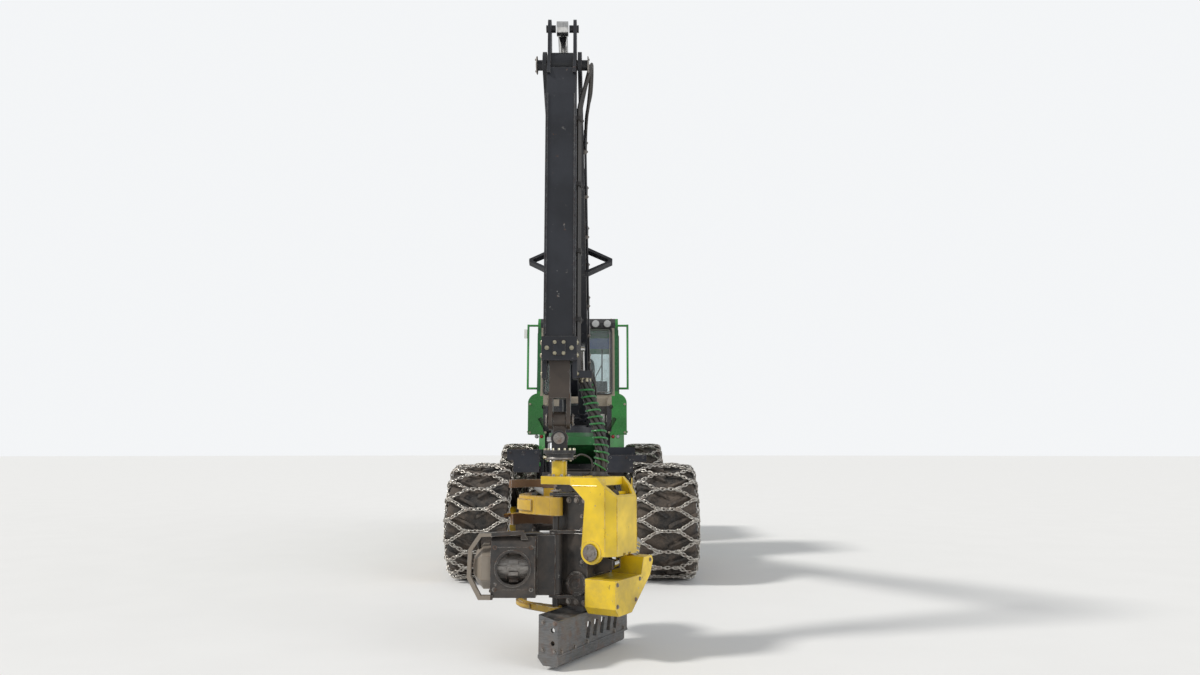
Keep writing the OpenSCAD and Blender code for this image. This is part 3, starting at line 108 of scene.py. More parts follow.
class HarvesterSizes(bpy.types.PropertyGroup):
    """Sizes of the fine pieces"""

    chain_wire: FloatProperty(
        name="Chain wire", description="Thickness of a tyre chain's links", default=0.017,
        min=0.01, max=0.025, unit="LENGTH")
    chain_pitch: FloatProperty(
        name="Chain pitch", description="Distance from link to link", default=0.062,
        min=0.04, max=0.09, unit="LENGTH")
    hose_width: FloatProperty(
        name="Hose bundle", description="Thickness of the hose bundle over the head", default=0.104,
        min=0.06, max=0.12, unit="LENGTH")
    bolt_width: FloatProperty(
        name="Bolt head", description="Width of a common bolt head", default=0.03,
        min=0.01, max=0.05, unit="LENGTH")
    tyre_steps: IntProperty(
        name="Tyre steps", description="Steps around a tyre", default=72, min=36, max=120)


class HarvesterColours(bpy.types.PropertyGroup):
    """Colours of the finishes"""

    green: FloatVectorProperty(
        name="Cab green", description="Paint of the cab and the hood", subtype="COLOR",
        size=3, min=0, max=1, default=(0.022, 0.235, 0.035))
    yellow: FloatVectorProperty(
        name="Head yellow", description="Paint of the felling head", subtype="COLOR",
        size=3, min=0, max=1, default=(0.84, 0.575, 0.01))
    crane: FloatVectorProperty(
        name="Crane black", description="Blue-black paint of the crane", subtype="COLOR",
        size=3, min=0, max=1, default=(0.0125, 0.0145, 0.021))
    dust: FloatVectorProperty(
        name="Dust", description="Dry soil on tyres and decks", subtype="COLOR",
        size=3, min=0, max=1, default=(0.165, 0.125, 0.095))
    rust: FloatVectorProperty(
        name="Rust", description="Rust on worn steel", subtype="COLOR",
        size=3, min=0, max=1, default=(0.15, 0.062, 0.026))
    steel: FloatVectorProperty(
        name="Worn steel", description="Bare metal where the paint is gone", subtype="COLOR",
        size=3, min=0, max=1, default=(0.42, 0.41, 0.39))
    rubber: FloatVectorProperty(
        name="Rubber", description="Rubber of the tyres and hoses", subtype="COLOR",
        size=3, min=0, max=1, default=(0.018, 0.017, 0.016))


class StageSettings(bpy.types.PropertyGroup):
    """Floor and light around the machine"""

    floor: FloatVectorProperty(
        name="Floor", description="Colour of the floor", subtype="COLOR",
        size=3, min=0, max=1, default=(0.8, 0.8, 0.795))
    sun: FloatProperty(
        name="Sun", description="Strength of the soft main light", default=2.3, min=0, max=10)
    fill: FloatProperty(
        name="Fill light", description="Strength of the light from the front right", default=0.9,
        min=0, max=10)
    sky: FloatProperty(
        name="Sky", description="Strength of the light from all around", default=0.5, min=0, max=2)


def sizes():
    """Sizes that the user set."""
    return bpy.context.scene.harvester_sizes


def colours():
    """Colours that the user set."""
    return bpy.context.scene.harvester_colours


def stage_settings():
    """Floor and light that the user set."""
    return bpy.context.scene.harvester_stage


SOCKETS = {"colour": "Base Color", "rough": "Roughness", "metal": "Metallic"}


class Finish:
    """One procedural material on Object coordinates, built node by node."""

    def __init__(self, name, roughness=0.5, metallic=0.0, coat=0.0):
        self.material = bpy.data.materials.new(name)
        self.material.use_nodes = True
        self.tree = self.material.node_tree
        self.shader = self.tree.nodes["Principled BSDF"]
        self.shader.inputs["Roughness"].default_value = roughness
        self.shader.inputs["Metallic"].default_value = metallic
        self.shader.inputs["Coat Weight"].default_value = coat
        self.place = self.node("ShaderNodeTexCoord").outputs["Object"]

    def node(self, kind, **settings):
        """New node of a kind, with its settings."""
        made = self.tree.nodes.new(kind)
        for key, value in settings.items():
            setattr(made, key, value)
        return made

    def join(self, value, socket):
        """Links an output, or sets a plain value."""
        if isinstance(value, bpy.types.NodeSocket):
            self.tree.links.new(value, socket)
        elif hasattr(value, "__len__") and len(value) == 3 and socket.type == "RGBA":
            socket.default_value = (*value, 1)
        else:
            socket.default_value = value

    def sums(self, operation, a, b=0.0, clamp=False):
        """Sum, product or other operation on two values."""
        made = self.node("ShaderNodeMath", operation=operation, use_clamp=clamp)
        self.join(a, made.inputs[0])
        self.join(b, made.inputs[1])
        return made.outputs[0]

    def noise(self, scale, detail=4.0, roughness=0.55, stretch=None):
        """Noise over the piece, drawn out along the axes by stretch."""
        made = self.node("ShaderNodeTexNoise")
        made.inputs["Scale"].default_value = scale
        made.inputs["Detail"].default_value = detail
        made.inputs["Roughness"].default_value = roughness
        where = self.place
        if stretch:
            mapping = self.node("ShaderNodeMapping")
            mapping.inputs["Scale"].default_value = stretch
            self.join(where, mapping.inputs["Vector"])
            where = mapping.outputs["Vector"]
        self.join(where, made.inputs["Vector"])
        return made.outputs["Fac"]

    def ramp(self, value, low, high):
        """0 at low, 1 at high, smooth between them."""
        made = self.node("ShaderNodeMapRange", interpolation_type="SMOOTHSTEP", clamp=True)
        self.join(value, made.inputs["Value"])
        made.inputs["From Min"].default_value = low
        made.inputs["From Max"].default_value = high
        return made.outputs["Result"]

    def spread(self, value, low, high):
        """Takes 0 to 1 to low to high."""
        made = self.node("ShaderNodeMapRange", clamp=True)
        self.join(value, made.inputs["Value"])
        made.inputs["To Min"].default_value = low
        made.inputs["To Max"].default_value = high
        return made.outputs["Result"]

    def mix(self, factor, a, b):
        """Colour a at 0, colour b at 1."""
        made = self.node("ShaderNodeMix", data_type="RGBA")
        self.join(factor, made.inputs[0])
        self.join(a, made.inputs[6])
        self.join(b, made.inputs[7])
        return made.outputs[2]

    def edges(self, radius):
        """1 along outer and inner edges, where paint wears and dirt gathers."""
        round_off = self.node("ShaderNodeBevel", samples=4)
        round_off.inputs["Radius"].default_value = radius
        dot = self.node("ShaderNodeVectorMath", operation="DOT_PRODUCT")
        self.join(round_off.outputs["Normal"], dot.inputs[0])
        self.join(self.node("ShaderNodeNewGeometry").outputs["Normal"], dot.inputs[1])
        return self.ramp(self.sums("SUBTRACT", 1.0, dot.outputs["Value"]), 0.02, 0.12)

    def upward(self):
        """1 on faces that look up, in the piece's own frame."""
        turn = self.node("ShaderNodeVectorTransform", vector_type="NORMAL",
                         convert_from="WORLD", convert_to="OBJECT")
        self.join(self.node("ShaderNodeNewGeometry").outputs["Normal"], turn.inputs[0])
        parts = self.node("ShaderNodeSeparateXYZ")
        self.join(turn.outputs[0], parts.inputs[0])
        return self.ramp(parts.outputs["Z"], 0.35, 0.9)

    def height(self, low, high):
        """0 at height low, 1 at height high."""
        parts = self.node("ShaderNodeSeparateXYZ")
        self.join(self.place, parts.inputs[0])
        return self.ramp(parts.outputs["Z"], low, high)

    def zone(self, low, high, frame_of_box=None):
        """1 inside a box given by two corners, in the machine's frame or another one."""
        low, high = Vector(low), Vector(high)
        centre, half = (low + high) / 2, (high - low) / 2
        where = self.place
        if frame_of_box is not None:
            mapping = self.node("ShaderNodeMapping", vector_type="TEXTURE")
            mapping.inputs["Location"].default_value = frame_of_box.translation
            mapping.inputs["Rotation"].default_value = frame_of_box.to_euler()
            self.join(where, mapping.inputs["Vector"])
            where = mapping.outputs["Vector"]
        off = self.node("ShaderNodeVectorMath", operation="SUBTRACT")
        self.join(where, off.inputs[0])
        off.inputs[1].default_value = centre
        size = self.node("ShaderNodeVectorMath", operation="ABSOLUTE")
        self.join(off.outputs[0], size.inputs[0])
        room = self.node("ShaderNodeVectorMath", operation="SUBTRACT")
        room.inputs[0].default_value = half
        self.join(size.outputs[0], room.inputs[1])
        parts = self.node("ShaderNodeSeparateXYZ")
        self.join(room.outputs[0], parts.inputs[0])
        least = self.sums("MINIMUM", self.sums("MINIMUM", parts.outputs["X"], parts.outputs["Y"]),
                          parts.outputs["Z"])
        return self.sums("GREATER_THAN", least, 0.0)

    def bump(self, height, distance, strength):
        """Fine relief from a height."""
        made = self.node("ShaderNodeBump")
        made.inputs["Strength"].default_value = strength
        made.inputs["Distance"].default_value = distance
        self.join(height, made.inputs["Height"])
        self.join(made.outputs["Normal"], self.shader.inputs["Normal"])

    def look(self, **values):
        """Joins values to the shader's sockets: colour, rough or metal."""
        for key, value in values.items():
            self.join(value, self.shader.inputs[SOCKETS[key]])


def painted(name, paint, gloss=0.35, coat=0.25, wear=0.5, dust=0.4, dust_low=0.0, dust_high=2.2,
            edge=0.005, zones=()):
    """Sprayed paint with soft tone changes, chipped edges, rubbed spots and dust from the ground."""
    c = colours()
    finish = Finish(name, coat=coat)
    finish.shader.inputs["Coat Roughness"].default_value = 0.18
    broad = finish.noise(2.3, 3)
    fine = finish.noise(38, 5, 0.6)
    shade = [tone * 0.72 for tone in paint]
    light = [min(1, tone * 1.12 + 0.004) for tone in paint]
    base = finish.mix(finish.ramp(broad, 0.35, 0.68), shade, light)
    for other, *corners in zones:
        base = finish.mix(finish.zone(*corners), base, other)
    chips = finish.ramp(finish.sums("ADD", finish.edges(edge), finish.spread(fine, -0.35, 0.3)),
                        0.55, 0.8)
    spots = finish.ramp(finish.sums("MULTIPLY", finish.noise(9, 6, 0.7), fine), 0.36, 0.42)
    bare = finish.sums("MULTIPLY", finish.sums("MAXIMUM", chips, spots), wear, clamp=True)
    rusty = finish.mix(finish.ramp(finish.noise(17, 4), 0.42, 0.6), c.steel, c.rust)
    base = finish.mix(bare, base, rusty)
    low_down = finish.sums("SUBTRACT", 1.0, finish.height(dust_low, dust_high))
    lying = finish.sums("MAXIMUM", finish.sums("MULTIPLY", finish.upward(), 0.75), low_down)
    cloud = finish.ramp(finish.noise(5.5, 7, 0.68), 0.34, 0.72)
    soil = finish.sums("MULTIPLY", finish.sums("MULTIPLY", lying, cloud), dust, clamp=True)
    base = finish.mix(soil, base, c.dust)
    finish.look(colour=base, metal=finish.sums("MULTIPLY", bare, 0.7),
                rough=finish.sums("ADD", finish.spread(fine, gloss - 0.08, gloss + 0.12),
                                  finish.sums("MULTIPLY", soil, 0.45), clamp=True))
    finish.bump(finish.sums("SUBTRACT", finish.sums("MULTIPLY", fine, 0.3), bare), 0.0012, 0.35)
    return finish.material


def metal(name, tone, roughness=0.35, rust=0.3, grain=(1, 1, 1), dust=0.15, scratch=0.4):
    """Bare or worn metal with grain, dull patches and some rust."""
    c = colours()
    finish = Finish(name)
    lines = finish.noise(42, 4, 0.6, stretch=grain)
    patch = finish.noise(6, 6, 0.65)
    dark = [part * 0.62 for part in tone]
    base = finish.mix(finish.ramp(lines, 0.3, 0.7), dark, tone)
    rusty = finish.sums("MULTIPLY", finish.ramp(finish.noise(11, 7, 0.7), 0.5, 0.66), rust, clamp=True)
    base = finish.mix(rusty, base, c.rust)
    soil = finish.sums("MULTIPLY", finish.ramp(patch, 0.4, 0.75), dust, clamp=True)
    base = finish.mix(soil, base, c.dust)
    cover = finish.sums("MAXIMUM", rusty, soil)
    finish.look(colour=base, metal=finish.sums("SUBTRACT", 1.0, cover, clamp=True),
                rough=finish.sums("ADD", finish.spread(patch, roughness - 0.1, roughness + 0.15),
                                  finish.sums("MULTIPLY", cover, 0.4), clamp=True))
    relief = finish.sums("ADD", finish.sums("MULTIPLY", lines, scratch),
                         finish.sums("MULTIPLY", rusty, 0.6))
    finish.bump(relief, 0.0012, 0.4)
    return finish.material


def rubbery(name, tone, dust=0.5, roughness=0.75, grain=60.0, bump=0.002):
    """Rubber or moulded plastic with a fine grain and dust in its hollows."""
    c = colours()
    finish = Finish(name)
    fine = finish.noise(grain, 5, 0.65)
    cloud = finish.ramp(finish.noise(4.2, 8, 0.7), 0.36, 0.66)
    soil = finish.sums("MULTIPLY", finish.sums("ADD", cloud, finish.spread(fine, -0.3, 0.3)), dust,
                       clamp=True)
    light = [part * 1.9 + 0.004 for part in tone]
    base = finish.mix(finish.ramp(fine, 0.35, 0.7), tone, light)
    finish.look(colour=finish.mix(soil, base, c.dust),
                rough=finish.sums("ADD", roughness - 0.1, finish.sums("MULTIPLY", soil, 0.3),
                                  clamp=True))
    finish.bump(finish.sums("ADD", fine, finish.sums("MULTIPLY", soil, 0.5)), bump, 0.4)
    return finish.material


def glass(name, tint, roughness=0.04, clear=0.9, dust=0.2):
    """Thin tinted pane under a veil of dust."""
    c = colours()
    finish = Finish(name, roughness=roughness)
    finish.shader.inputs["IOR"].default_value = 1.45
    finish.shader.inputs["Transmission Weight"].default_value = clear
    veil = finish.sums("MULTIPLY", finish.ramp(finish.noise(7, 6, 0.7), 0.45, 0.8), dust, clamp=True)
    finish.look(colour=finish.mix(veil, tint, c.dust),
                rough=finish.sums("ADD", roughness, finish.sums("MULTIPLY", veil, 0.5), clamp=True))
    finish.bump(finish.noise(3, 2), 0.002, 0.04)
    return finish.material


def lens(name, tone):
    """Ribbed lamp glass over a bright reflector."""
    finish = Finish(name, roughness=0.12, coat=0.6)
    ribs = finish.node("ShaderNodeTexWave", wave_type="BANDS", bands_direction="X")
    ribs.inputs["Scale"].default_value = 60
    finish.join(finish.place, ribs.inputs["Vector"])
    dark = [part * 0.55 for part in tone]
    finish.look(colour=finish.mix(finish.ramp(ribs.outputs["Fac"], 0.2, 0.8), dark, tone),
                rough=finish.spread(finish.noise(30, 3), 0.08, 0.2))
    finish.bump(ribs.outputs["Fac"], 0.003, 0.4)
    return finish.material


def woven(name, tone, light):
    """Seat cloth with a visible weave and darker rubbed places."""
    finish = Finish(name, roughness=0.9)
    finish.shader.inputs["Sheen Weight"].default_value = 0.35
    threads = []
    for direction in ("X", "Z"):
        wave = finish.node("ShaderNodeTexWave", wave_type="BANDS", bands_direction=direction)
        wave.inputs["Scale"].default_value = 170
        wave.inputs["Distortion"].default_value = 0.4
        finish.join(finish.place, wave.inputs["Vector"])
        threads.append(wave.outputs["Fac"])
    weave = finish.sums("MULTIPLY", threads[0], threads[1])
    rub = finish.ramp(finish.noise(8, 5), 0.4, 0.7)
    base = finish.mix(weave, tone, light)
    finish.look(colour=finish.mix(finish.sums("MULTIPLY", rub, 0.4), base, tone),
                rough=finish.spread(rub, 0.95, 0.75))
    finish.bump(weave, 0.0015, 0.5)
    return finish.material


FINISHES = {}


def motor_zone(side):
    """Grey-brown housing of the feed motor on one arm, and where it lies."""
    pin = Vector((side * CLAW_PIN.x, CLAW_PIN.y, 0))
    turn = (HEAD_PLACE @ Matrix.Translation(pin) @ Matrix.Rotation(-side * ARM_OPEN, 4, "Z")
            @ Matrix.Translation(-pin))
    inner, outer = sorted((side * 0.15, side * 0.475))
    return ((0.24, 0.205, 0.165), (inner, ARM_END + 0.0005, 0.45), (outer, 0.6, 0.95), turn)


def make_finishes():
    """Every finish of the machine, by its plain name."""
    c = colours()
    black, green, yellow, rubber = tuple(c.crane), tuple(c.green), tuple(c.yellow), tuple(c.rubber)
    frame_black = (0.021, 0.021, 0.023)
    cheeks = [(green, at(x, -0.28, 1.19), at(x + 0.056, 0.66, 1.6)) for x in (-0.4, 0.345)]
    blades = [((0.17, 0.092, 0.048), at(-2, -8, low), at(2, -2, high))
              for low, high in ((1.25, 1.4), (0.93, 1.047))]
    # dark_green is painted shade: the first cab zone below deepens the green of the pillars and upper
    # frame where they stand in shade
    dark_green, tan = (0.008, 0.095, 0.024), (0.33, 0.285, 0.22)
    cab_parts = [(dark_green, at(-0.62, 0.7, 2.43), at(0.62, 2.4, 3.39)),
                 (frame_black, at(-0.56, 0.7, 3.39), at(0.56, 1.03, 3.56)),
                 (tan, at(0.506, 0.7, 2.36), at(0.546, 0.96, 3.39)),
                 (tan, at(-0.546, 0.7, 2.36), at(-0.506, 0.96, 3.39)),
                 ((0.012, 0.04, 0.2), at(-0.556, 0.94, 2.99), at(0.556, 1.06, 3.25)),
                 ((0.72, 0.72, 0.69), at(-0.802, 0.85, 3.22), at(-0.757, 0.91, 3.37)),
                 ((0.03, 0.03, 0.033), at(-0.5, 0.7, 1.84), at(0.5, 0.9, 2.215)),
                 (tan, at(-0.5, 0.7, 2.215), at(0.5, 0.9, 2.4)),
                 (frame_black, at(0.602, 1.8, 1.95), at(0.68, 2.0, 3.4))]
    hood_parts = [(frame_black, at(-0.57, 5.36, 1.3), at(0.57, 5.53, 2.32)),
                  (frame_black, at(-0.55, 5.598, 2.3), at(0.55, 5.7, 2.5)),
                  ((0.3, 0.012, 0.01), at(-0.67, 5.601, 1.3), at(0.67, 5.65, 1.6))]
    arm_paint = ((0.02, 0.019, 0.019), 0.45, 0.08, 0.75, 0.5, 0.0, 1.9, 0.008)
    FINISHES.update(
        green=painted("green_paint", green, gloss=0.26, coat=0.45, wear=0.25, dust=0.28, dust_high=2.0),
        dark_green=painted("dark_green_paint", (0.012, 0.12, 0.028), gloss=0.34, wear=0.3, dust=0.35),
        yellow=painted("yellow_paint", yellow, gloss=0.3, coat=0.35, wear=0.75, dust=0.42,
                       dust_low=0.2, dust_high=1.7, edge=0.007),
        knife=painted("knife_paint", (0.68, 0.42, 0.025), gloss=0.42, coat=0.1, wear=1.0, dust=0.62,
                      dust_low=0.0, dust_high=2.4, edge=0.014, zones=blades),
        tower=painted("front_frame_paint", frame_black, gloss=0.5, coat=0.05, wear=0.4, dust=0.75,
                      dust_high=1.9, zones=cheeks),
        cab=painted("cab_paint", green, gloss=0.26, coat=0.45, wear=0.25, dust=0.28, dust_high=2.0,
                    zones=cab_parts),
        door=painted("door_paint", green, gloss=0.26, coat=0.45, wear=0.25, dust=0.28, dust_high=2.0,
                     zones=[(frame_black, at(0.6095, 1.2, 1.9), at(0.7, 2.0, 3.5))]),
        hood=painted("hood_paint", green, gloss=0.28, coat=0.45, wear=0.25, dust=0.32, dust_high=2.0,
                     zones=hood_parts),
        crane=painted("crane_paint", black, gloss=0.42, coat=0.08, wear=0.45, dust=0.06, edge=0.004),
        frame=painted("frame_paint", frame_black, gloss=0.5, coat=0.05, wear=0.4, dust=0.75,
                      dust_high=1.9),
        deck=painted("deck_paint", (0.008, 0.0115, 0.021), gloss=0.5, coat=0.05, wear=0.45, dust=0.4,
                     dust_high=2.0),
        arm_left=painted("feed_arm_left_paint", *arm_paint, zones=[motor_zone(1)]),
        arm_right=painted("feed_arm_right_paint", *arm_paint, zones=[motor_zone(-1)]),
        head_black=painted("head_black_paint", (0.02, 0.019, 0.019), gloss=0.45, coat=0.08, wear=0.75,
                           dust=0.5, dust_high=1.9, edge=0.008),
        brown=painted("extension_paint", (0.042, 0.031, 0.024), gloss=0.38, coat=0.1, wear=0.7, dust=0.3,
                      dust_high=3.5),
        housing=painted("motor_housing", (0.16, 0.135, 0.11), gloss=0.5, coat=0.0, wear=0.7, dust=0.6,
                        dust_high=2.2, edge=0.007),
        grey=painted("grey_paint", (0.3, 0.31, 0.31), gloss=0.42, coat=0.1, wear=0.6, dust=0.5,
                     dust_high=2.2),
        steel=metal("bare_steel", (0.55, 0.54, 0.52), 0.34, rust=0.35, dust=0.25),
        worn=metal("worn_steel", (0.36, 0.34, 0.32), 0.42, rust=0.55, grain=(1, 1, 5), dust=0.5),
        saw=metal("saw_box_steel", (0.24, 0.245, 0.25), 0.44, rust=0.45, grain=(0.35, 0.35, 6),
                  dust=0.55, scratch=0.9),
        chain=metal("chain_steel", (0.62, 0.59, 0.54), 0.3, rust=0.5, dust=0.2),
        chrome=metal("chrome_rod", (0.78, 0.78, 0.77), 0.12, rust=0.02, grain=(1, 1, 0.2), dust=0.06,
                     scratch=0.1),
        zinc=metal("zinc_fitting", (0.6, 0.56, 0.42), 0.34, rust=0.15, dust=0.25),
        tyre=rubbery("tyre_rubber", rubber, dust=0.6, roughness=0.8, grain=45, bump=0.004),
        hose=rubbery("hose_rubber", rubber, dust=0.15, roughness=0.5, grain=160, bump=0.0008),
        plastic=rubbery("black_plastic", (0.02, 0.02, 0.021), dust=0.12, roughness=0.55, grain=220,
                        bump=0.0006),
        spiral=rubbery("green_spiral", (0.014, 0.13, 0.032), dust=0.12, roughness=0.45, grain=90,
                       bump=0.0006),
        trim=rubbery("grey_trim", (0.11, 0.105, 0.1), dust=0.2, roughness=0.6, grain=200, bump=0.0006),
        glass=glass("cab_glass", (0.72, 0.8, 0.8), clear=0.92),
        lamp=lens("lamp_glass", (0.5, 0.51, 0.5)),
        red=lens("red_lens", (0.5, 0.02, 0.015)),
        cloth=woven("seat_cloth", (0.018, 0.018, 0.02), (0.075, 0.075, 0.08)),
        engine=metal("engine_castings", (0.28, 0.28, 0.28), 0.5, rust=0.35, dust=0.55),
        plate=painted("blank_plate", (0.6, 0.6, 0.56), gloss=0.35, wear=0.2, dust=0.3),
    )


def rounded(points, radius, steps=5):
    """Path through points with its corners rounded off."""
    points = [Vector(p) for p in points]
    path = [points[0]]
    for before, corner, after in zip(points, points[1:], points[2:]):
        reach = min(radius, (before - corner).length * 0.49, (after - corner).length * 0.49)
        start = corner + (before - corner).normalized() * reach
        end = corner + (after - corner).normalized() * reach
        for step in range(steps + 1):
            t = step / steps
            path.append(start * (1 - t) ** 2 + corner * 2 * t * (1 - t) + end * t * t)
    path.append(points[-1])
    return path


def smooth_path(points, steps):
    """Even points on a smooth curve through the given ones."""
    points = [Vector(p) for p in points]
    padded = [points[0] * 2 - points[1], *points, points[-1] * 2 - points[-2]]
    path = []
    for a, b, c, d in zip(padded, padded[1:], padded[2:], padded[3:]):
        for step in range(steps):
            t = step / steps
            path.append(0.5 * ((2 * b) + (c - a) * t + (2 * a - 5 * b + 4 * c - d) * t * t
                               + (3 * b - a - 3 * c + d) * t ** 3))
    path.append(points[-1])
    return path


def tilt(degrees, axis="X"):
    """Turn about an axis."""
    return Matrix.Rotation(math.radians(degrees), 4, axis)


def facing(direction):
    """Turn that takes +Z to a direction."""
    return Vector(direction).to_track_quat("Z", "Y").to_matrix().to_4x4()


def even(count, start=0.0):
    """Evenly spaced angles of a full turn, from a share of a step on."""
    return [math.tau * (k + start) / count for k in range(count)]


def around(centre, axis, radius, angles):
    """Points on a circle about an axis, "X", "Y" or "Z", through a centre."""
    first = Vector((0, 1, 0)) if axis == "X" else Vector((1, 0, 0))
    second = Vector((0, 1, 0)) if axis == "Z" else Vector((0, 0, 1))
    return [Vector(centre) + (first * math.cos(a) + second * math.sin(a)) * radius for a in angles]


# Edges sharper than this are rounded off
SHARP = math.radians(30)


class Form:
    """A mesh under construction, in the frame given by its place."""

    def __init__(self, place=None):
        self.bm = bmesh.new()
        self.place = place or Matrix.Translation((0, SHIFT_Y, 0))

    def join_form(self, small, matrix=None):
        """Takes in a small form's mesh, set down by matrix."""
        mesh = bpy.data.meshes.new("passing")
        small.to_mesh(mesh)
        if matrix is not None:
            mesh.transform(matrix)
            if matrix.determinant() < 0:
                mesh.flip_normals()
        self.bm.from_mesh(mesh)
        bpy.data.meshes.remove(mesh)
        small.free()

    def box(self, low, high, bevel=0.004, segments=2, turn=None):
        """Block between two corners; turn is a matrix about its middle."""
        small = bmesh.new()
        low, high = Vector(low), Vector(high)
        bmesh.ops.create_cube(small, size=1)
        bmesh.ops.scale(small, vec=high - low, verts=small.verts)
        Form.soften_all(small, bevel, segments)
        matrix = Matrix.Translation((low + high) / 2) @ (turn or Matrix.Identity(4))
        self.join_form(small, self.place @ matrix)
        return self

    @staticmethod
    def soften_all(small, bevel, segments=2):
        """Rounds off every edge that is sharper than SHARP."""
        if bevel > 0:
            sharp = [e for e in small.edges if e.is_manifold and e.calc_face_angle(0) > SHARP]
            bmesh.ops.bevel(small, geom=sharp, offset=bevel, offset_type="OFFSET", segments=segments,
                            profile=0.5, affect="EDGES", material=-1, clamp_overlap=True)

    def rod(self, start, end, radius, sides=24, bevel=0.0):
        """Round bar from start to end."""
        start, end = Vector(start), Vector(end)
        small = bmesh.new()
        bmesh.ops.create_cone(small, cap_ends=True, segments=sides, radius1=radius, radius2=radius,
                              depth=(end - start).length)
        Form.soften_all(small, bevel, 2)
        self.join_form(small, self.place @ Matrix.Translation((start + end) / 2) @ facing(end - start))
        return self

    def lathe(self, profile, start, direction, steps=32):
        """Profile of (radius, height) pairs spun about the line from start along direction."""
        small = bmesh.new()
        verts = [small.verts.new((r, 0, h)) for r, h in profile]
        edges = [small.edges.new(pair) for pair in zip(verts, verts[1:])]
        bmesh.ops.spin(small, geom=verts + edges, cent=(0, 0, 0), axis=(0, 0, 1), angle=math.tau,
                       steps=steps, use_merge=True, use_duplicate=False)
        bmesh.ops.remove_doubles(small, verts=small.verts, dist=0.00005)
        bmesh.ops.recalc_face_normals(small, faces=small.faces)
        self.join_form(small, self.place @ Matrix.Translation(Vector(start)) @ facing(direction))
        return self

    def pipe(self, path, radius, sides=10, closed=False):
        """Round bar swept along a path."""
        curve = bpy.data.curves.new("passing", "CURVE")
        curve.dimensions = "3D"
        curve.bevel_depth = radius
        curve.bevel_resolution = max(0, sides // 4)
        curve.use_fill_caps = not closed
        spline = curve.splines.new("POLY")
        spline.points.add(len(path) - 1)
        for point, target in zip(spline.points, path):
            point.co = (*target, 1)
        spline.use_cyclic_u = closed
        holder = bpy.data.objects.new("passing", curve)
        mesh = bpy.data.meshes.new_from_object(holder)
        mesh.transform(self.place)
        if self.place.determinant() < 0:
            mesh.flip_normals()
        self.bm.from_mesh(mesh)
        for data, group in ((holder, bpy.data.objects), (mesh, bpy.data.meshes),
                            (curve, bpy.data.curves)):
            group.remove(data)
        return self

    def bolts(self, places, direction, width=None, height=0.014, washer=True):
        """Hexagon heads on their washers, standing along direction."""
        width = width or sizes().bolt_width
        turn = facing(direction)
        step = Vector(direction).normalized()
        for place in places:
            place = Vector(place)
            small = bmesh.new()
            bmesh.ops.create_cone(small, cap_ends=True, segments=6, radius1=width * 0.56,
                                  radius2=width * 0.5, depth=height)
            self.join_form(small, self.place @ Matrix.Translation(place + step * height * 0.5) @ turn)
            if washer:
                small = bmesh.new()
                bmesh.ops.create_cone(small, cap_ends=True, segments=12, radius1=width * 0.8,
                                      radius2=width * 0.74, depth=height * 0.3)
                self.join_form(small,
                               self.place @ Matrix.Translation(place + step * height * 0.12) @ turn)
        return self

    def mesh(self, name, angle):
        """The finished mesh, smooth where its faces meet below an angle in degrees."""
        mesh = bpy.data.meshes.new(name)
        self.bm.to_mesh(mesh)
        self.bm.free()
        mesh.polygons.foreach_set("use_smooth", [True] * len(mesh.polygons))
        mesh.set_sharp_from_angle(angle=math.radians(angle))
        return mesh

    def done(self, name, body, finish, slot, replaces=(), angle=38):
        """The finished piece: object at the origin, its place in its mesh, riding on a body."""
        return show(name, self.mesh(name, angle), body, finish, replaces)


def show(name, mesh, body, finish, replaces=()):
    """Links a finished mesh as a piece that rides on a body, or, given anything but a body's name,
    stands fixed where it is.
    """
    obj = bpy.data.objects.new(name, mesh)
    bpy.context.scene.collection.objects.link(obj)
    obj.data.materials.append(FINISHES[finish])
    if isinstance(body, str):
        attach(obj, body)
    else:
        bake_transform(obj)
    if replaces:
        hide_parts(*replaces)
    return obj


FRONT_TYRE = {"radius": 0.670, "width": 0.710, "rim": 0.3365, "lugs": 17}
REAR_TYRE = {"radius": 0.8225, "width": 0.600, "rim": 0.432, "lugs": 19}
# Name of each wheel, its side (+1 is the machine's left) and its tyre
WHEELS = (("front_left_1", 1, FRONT_TYRE), ("front_left_2", 1, FRONT_TYRE),
          ("front_right_1", -1, FRONT_TYRE), ("front_right_2", -1, FRONT_TYRE),
          ("rear_left", 1, REAR_TYRE), ("rear_right", -1, REAR_TYRE))
LUG_HEIGHT = 0.042
# Turn of each chain link about its run, to one side and the other
LINK_ROLL = math.radians(38)


def wheel_matrix(name, side):
    """Wheel's frame: its axis along X, outward is +X."""
    return Matrix.Translation(middle(f"tyre_{name}")) @ Matrix.Diagonal((side, 1, 1, 1))


def set_on_wheels(tyre, base, label, finish, stand_for=False):
    """Copies of one mesh on every wheel that has this tyre."""
    for name, side, fitted in WHEELS:
        if fitted is tyre:
            mesh = base.copy()
            mesh.transform(wheel_matrix(name, side))
            if side < 0:
                mesh.flip_normals()
            show(f"{label}_{name}", mesh, f"wheel_{name}", finish,
                 [f"tyre_{name}"] if stand_for else ())
    bpy.data.meshes.remove(base)


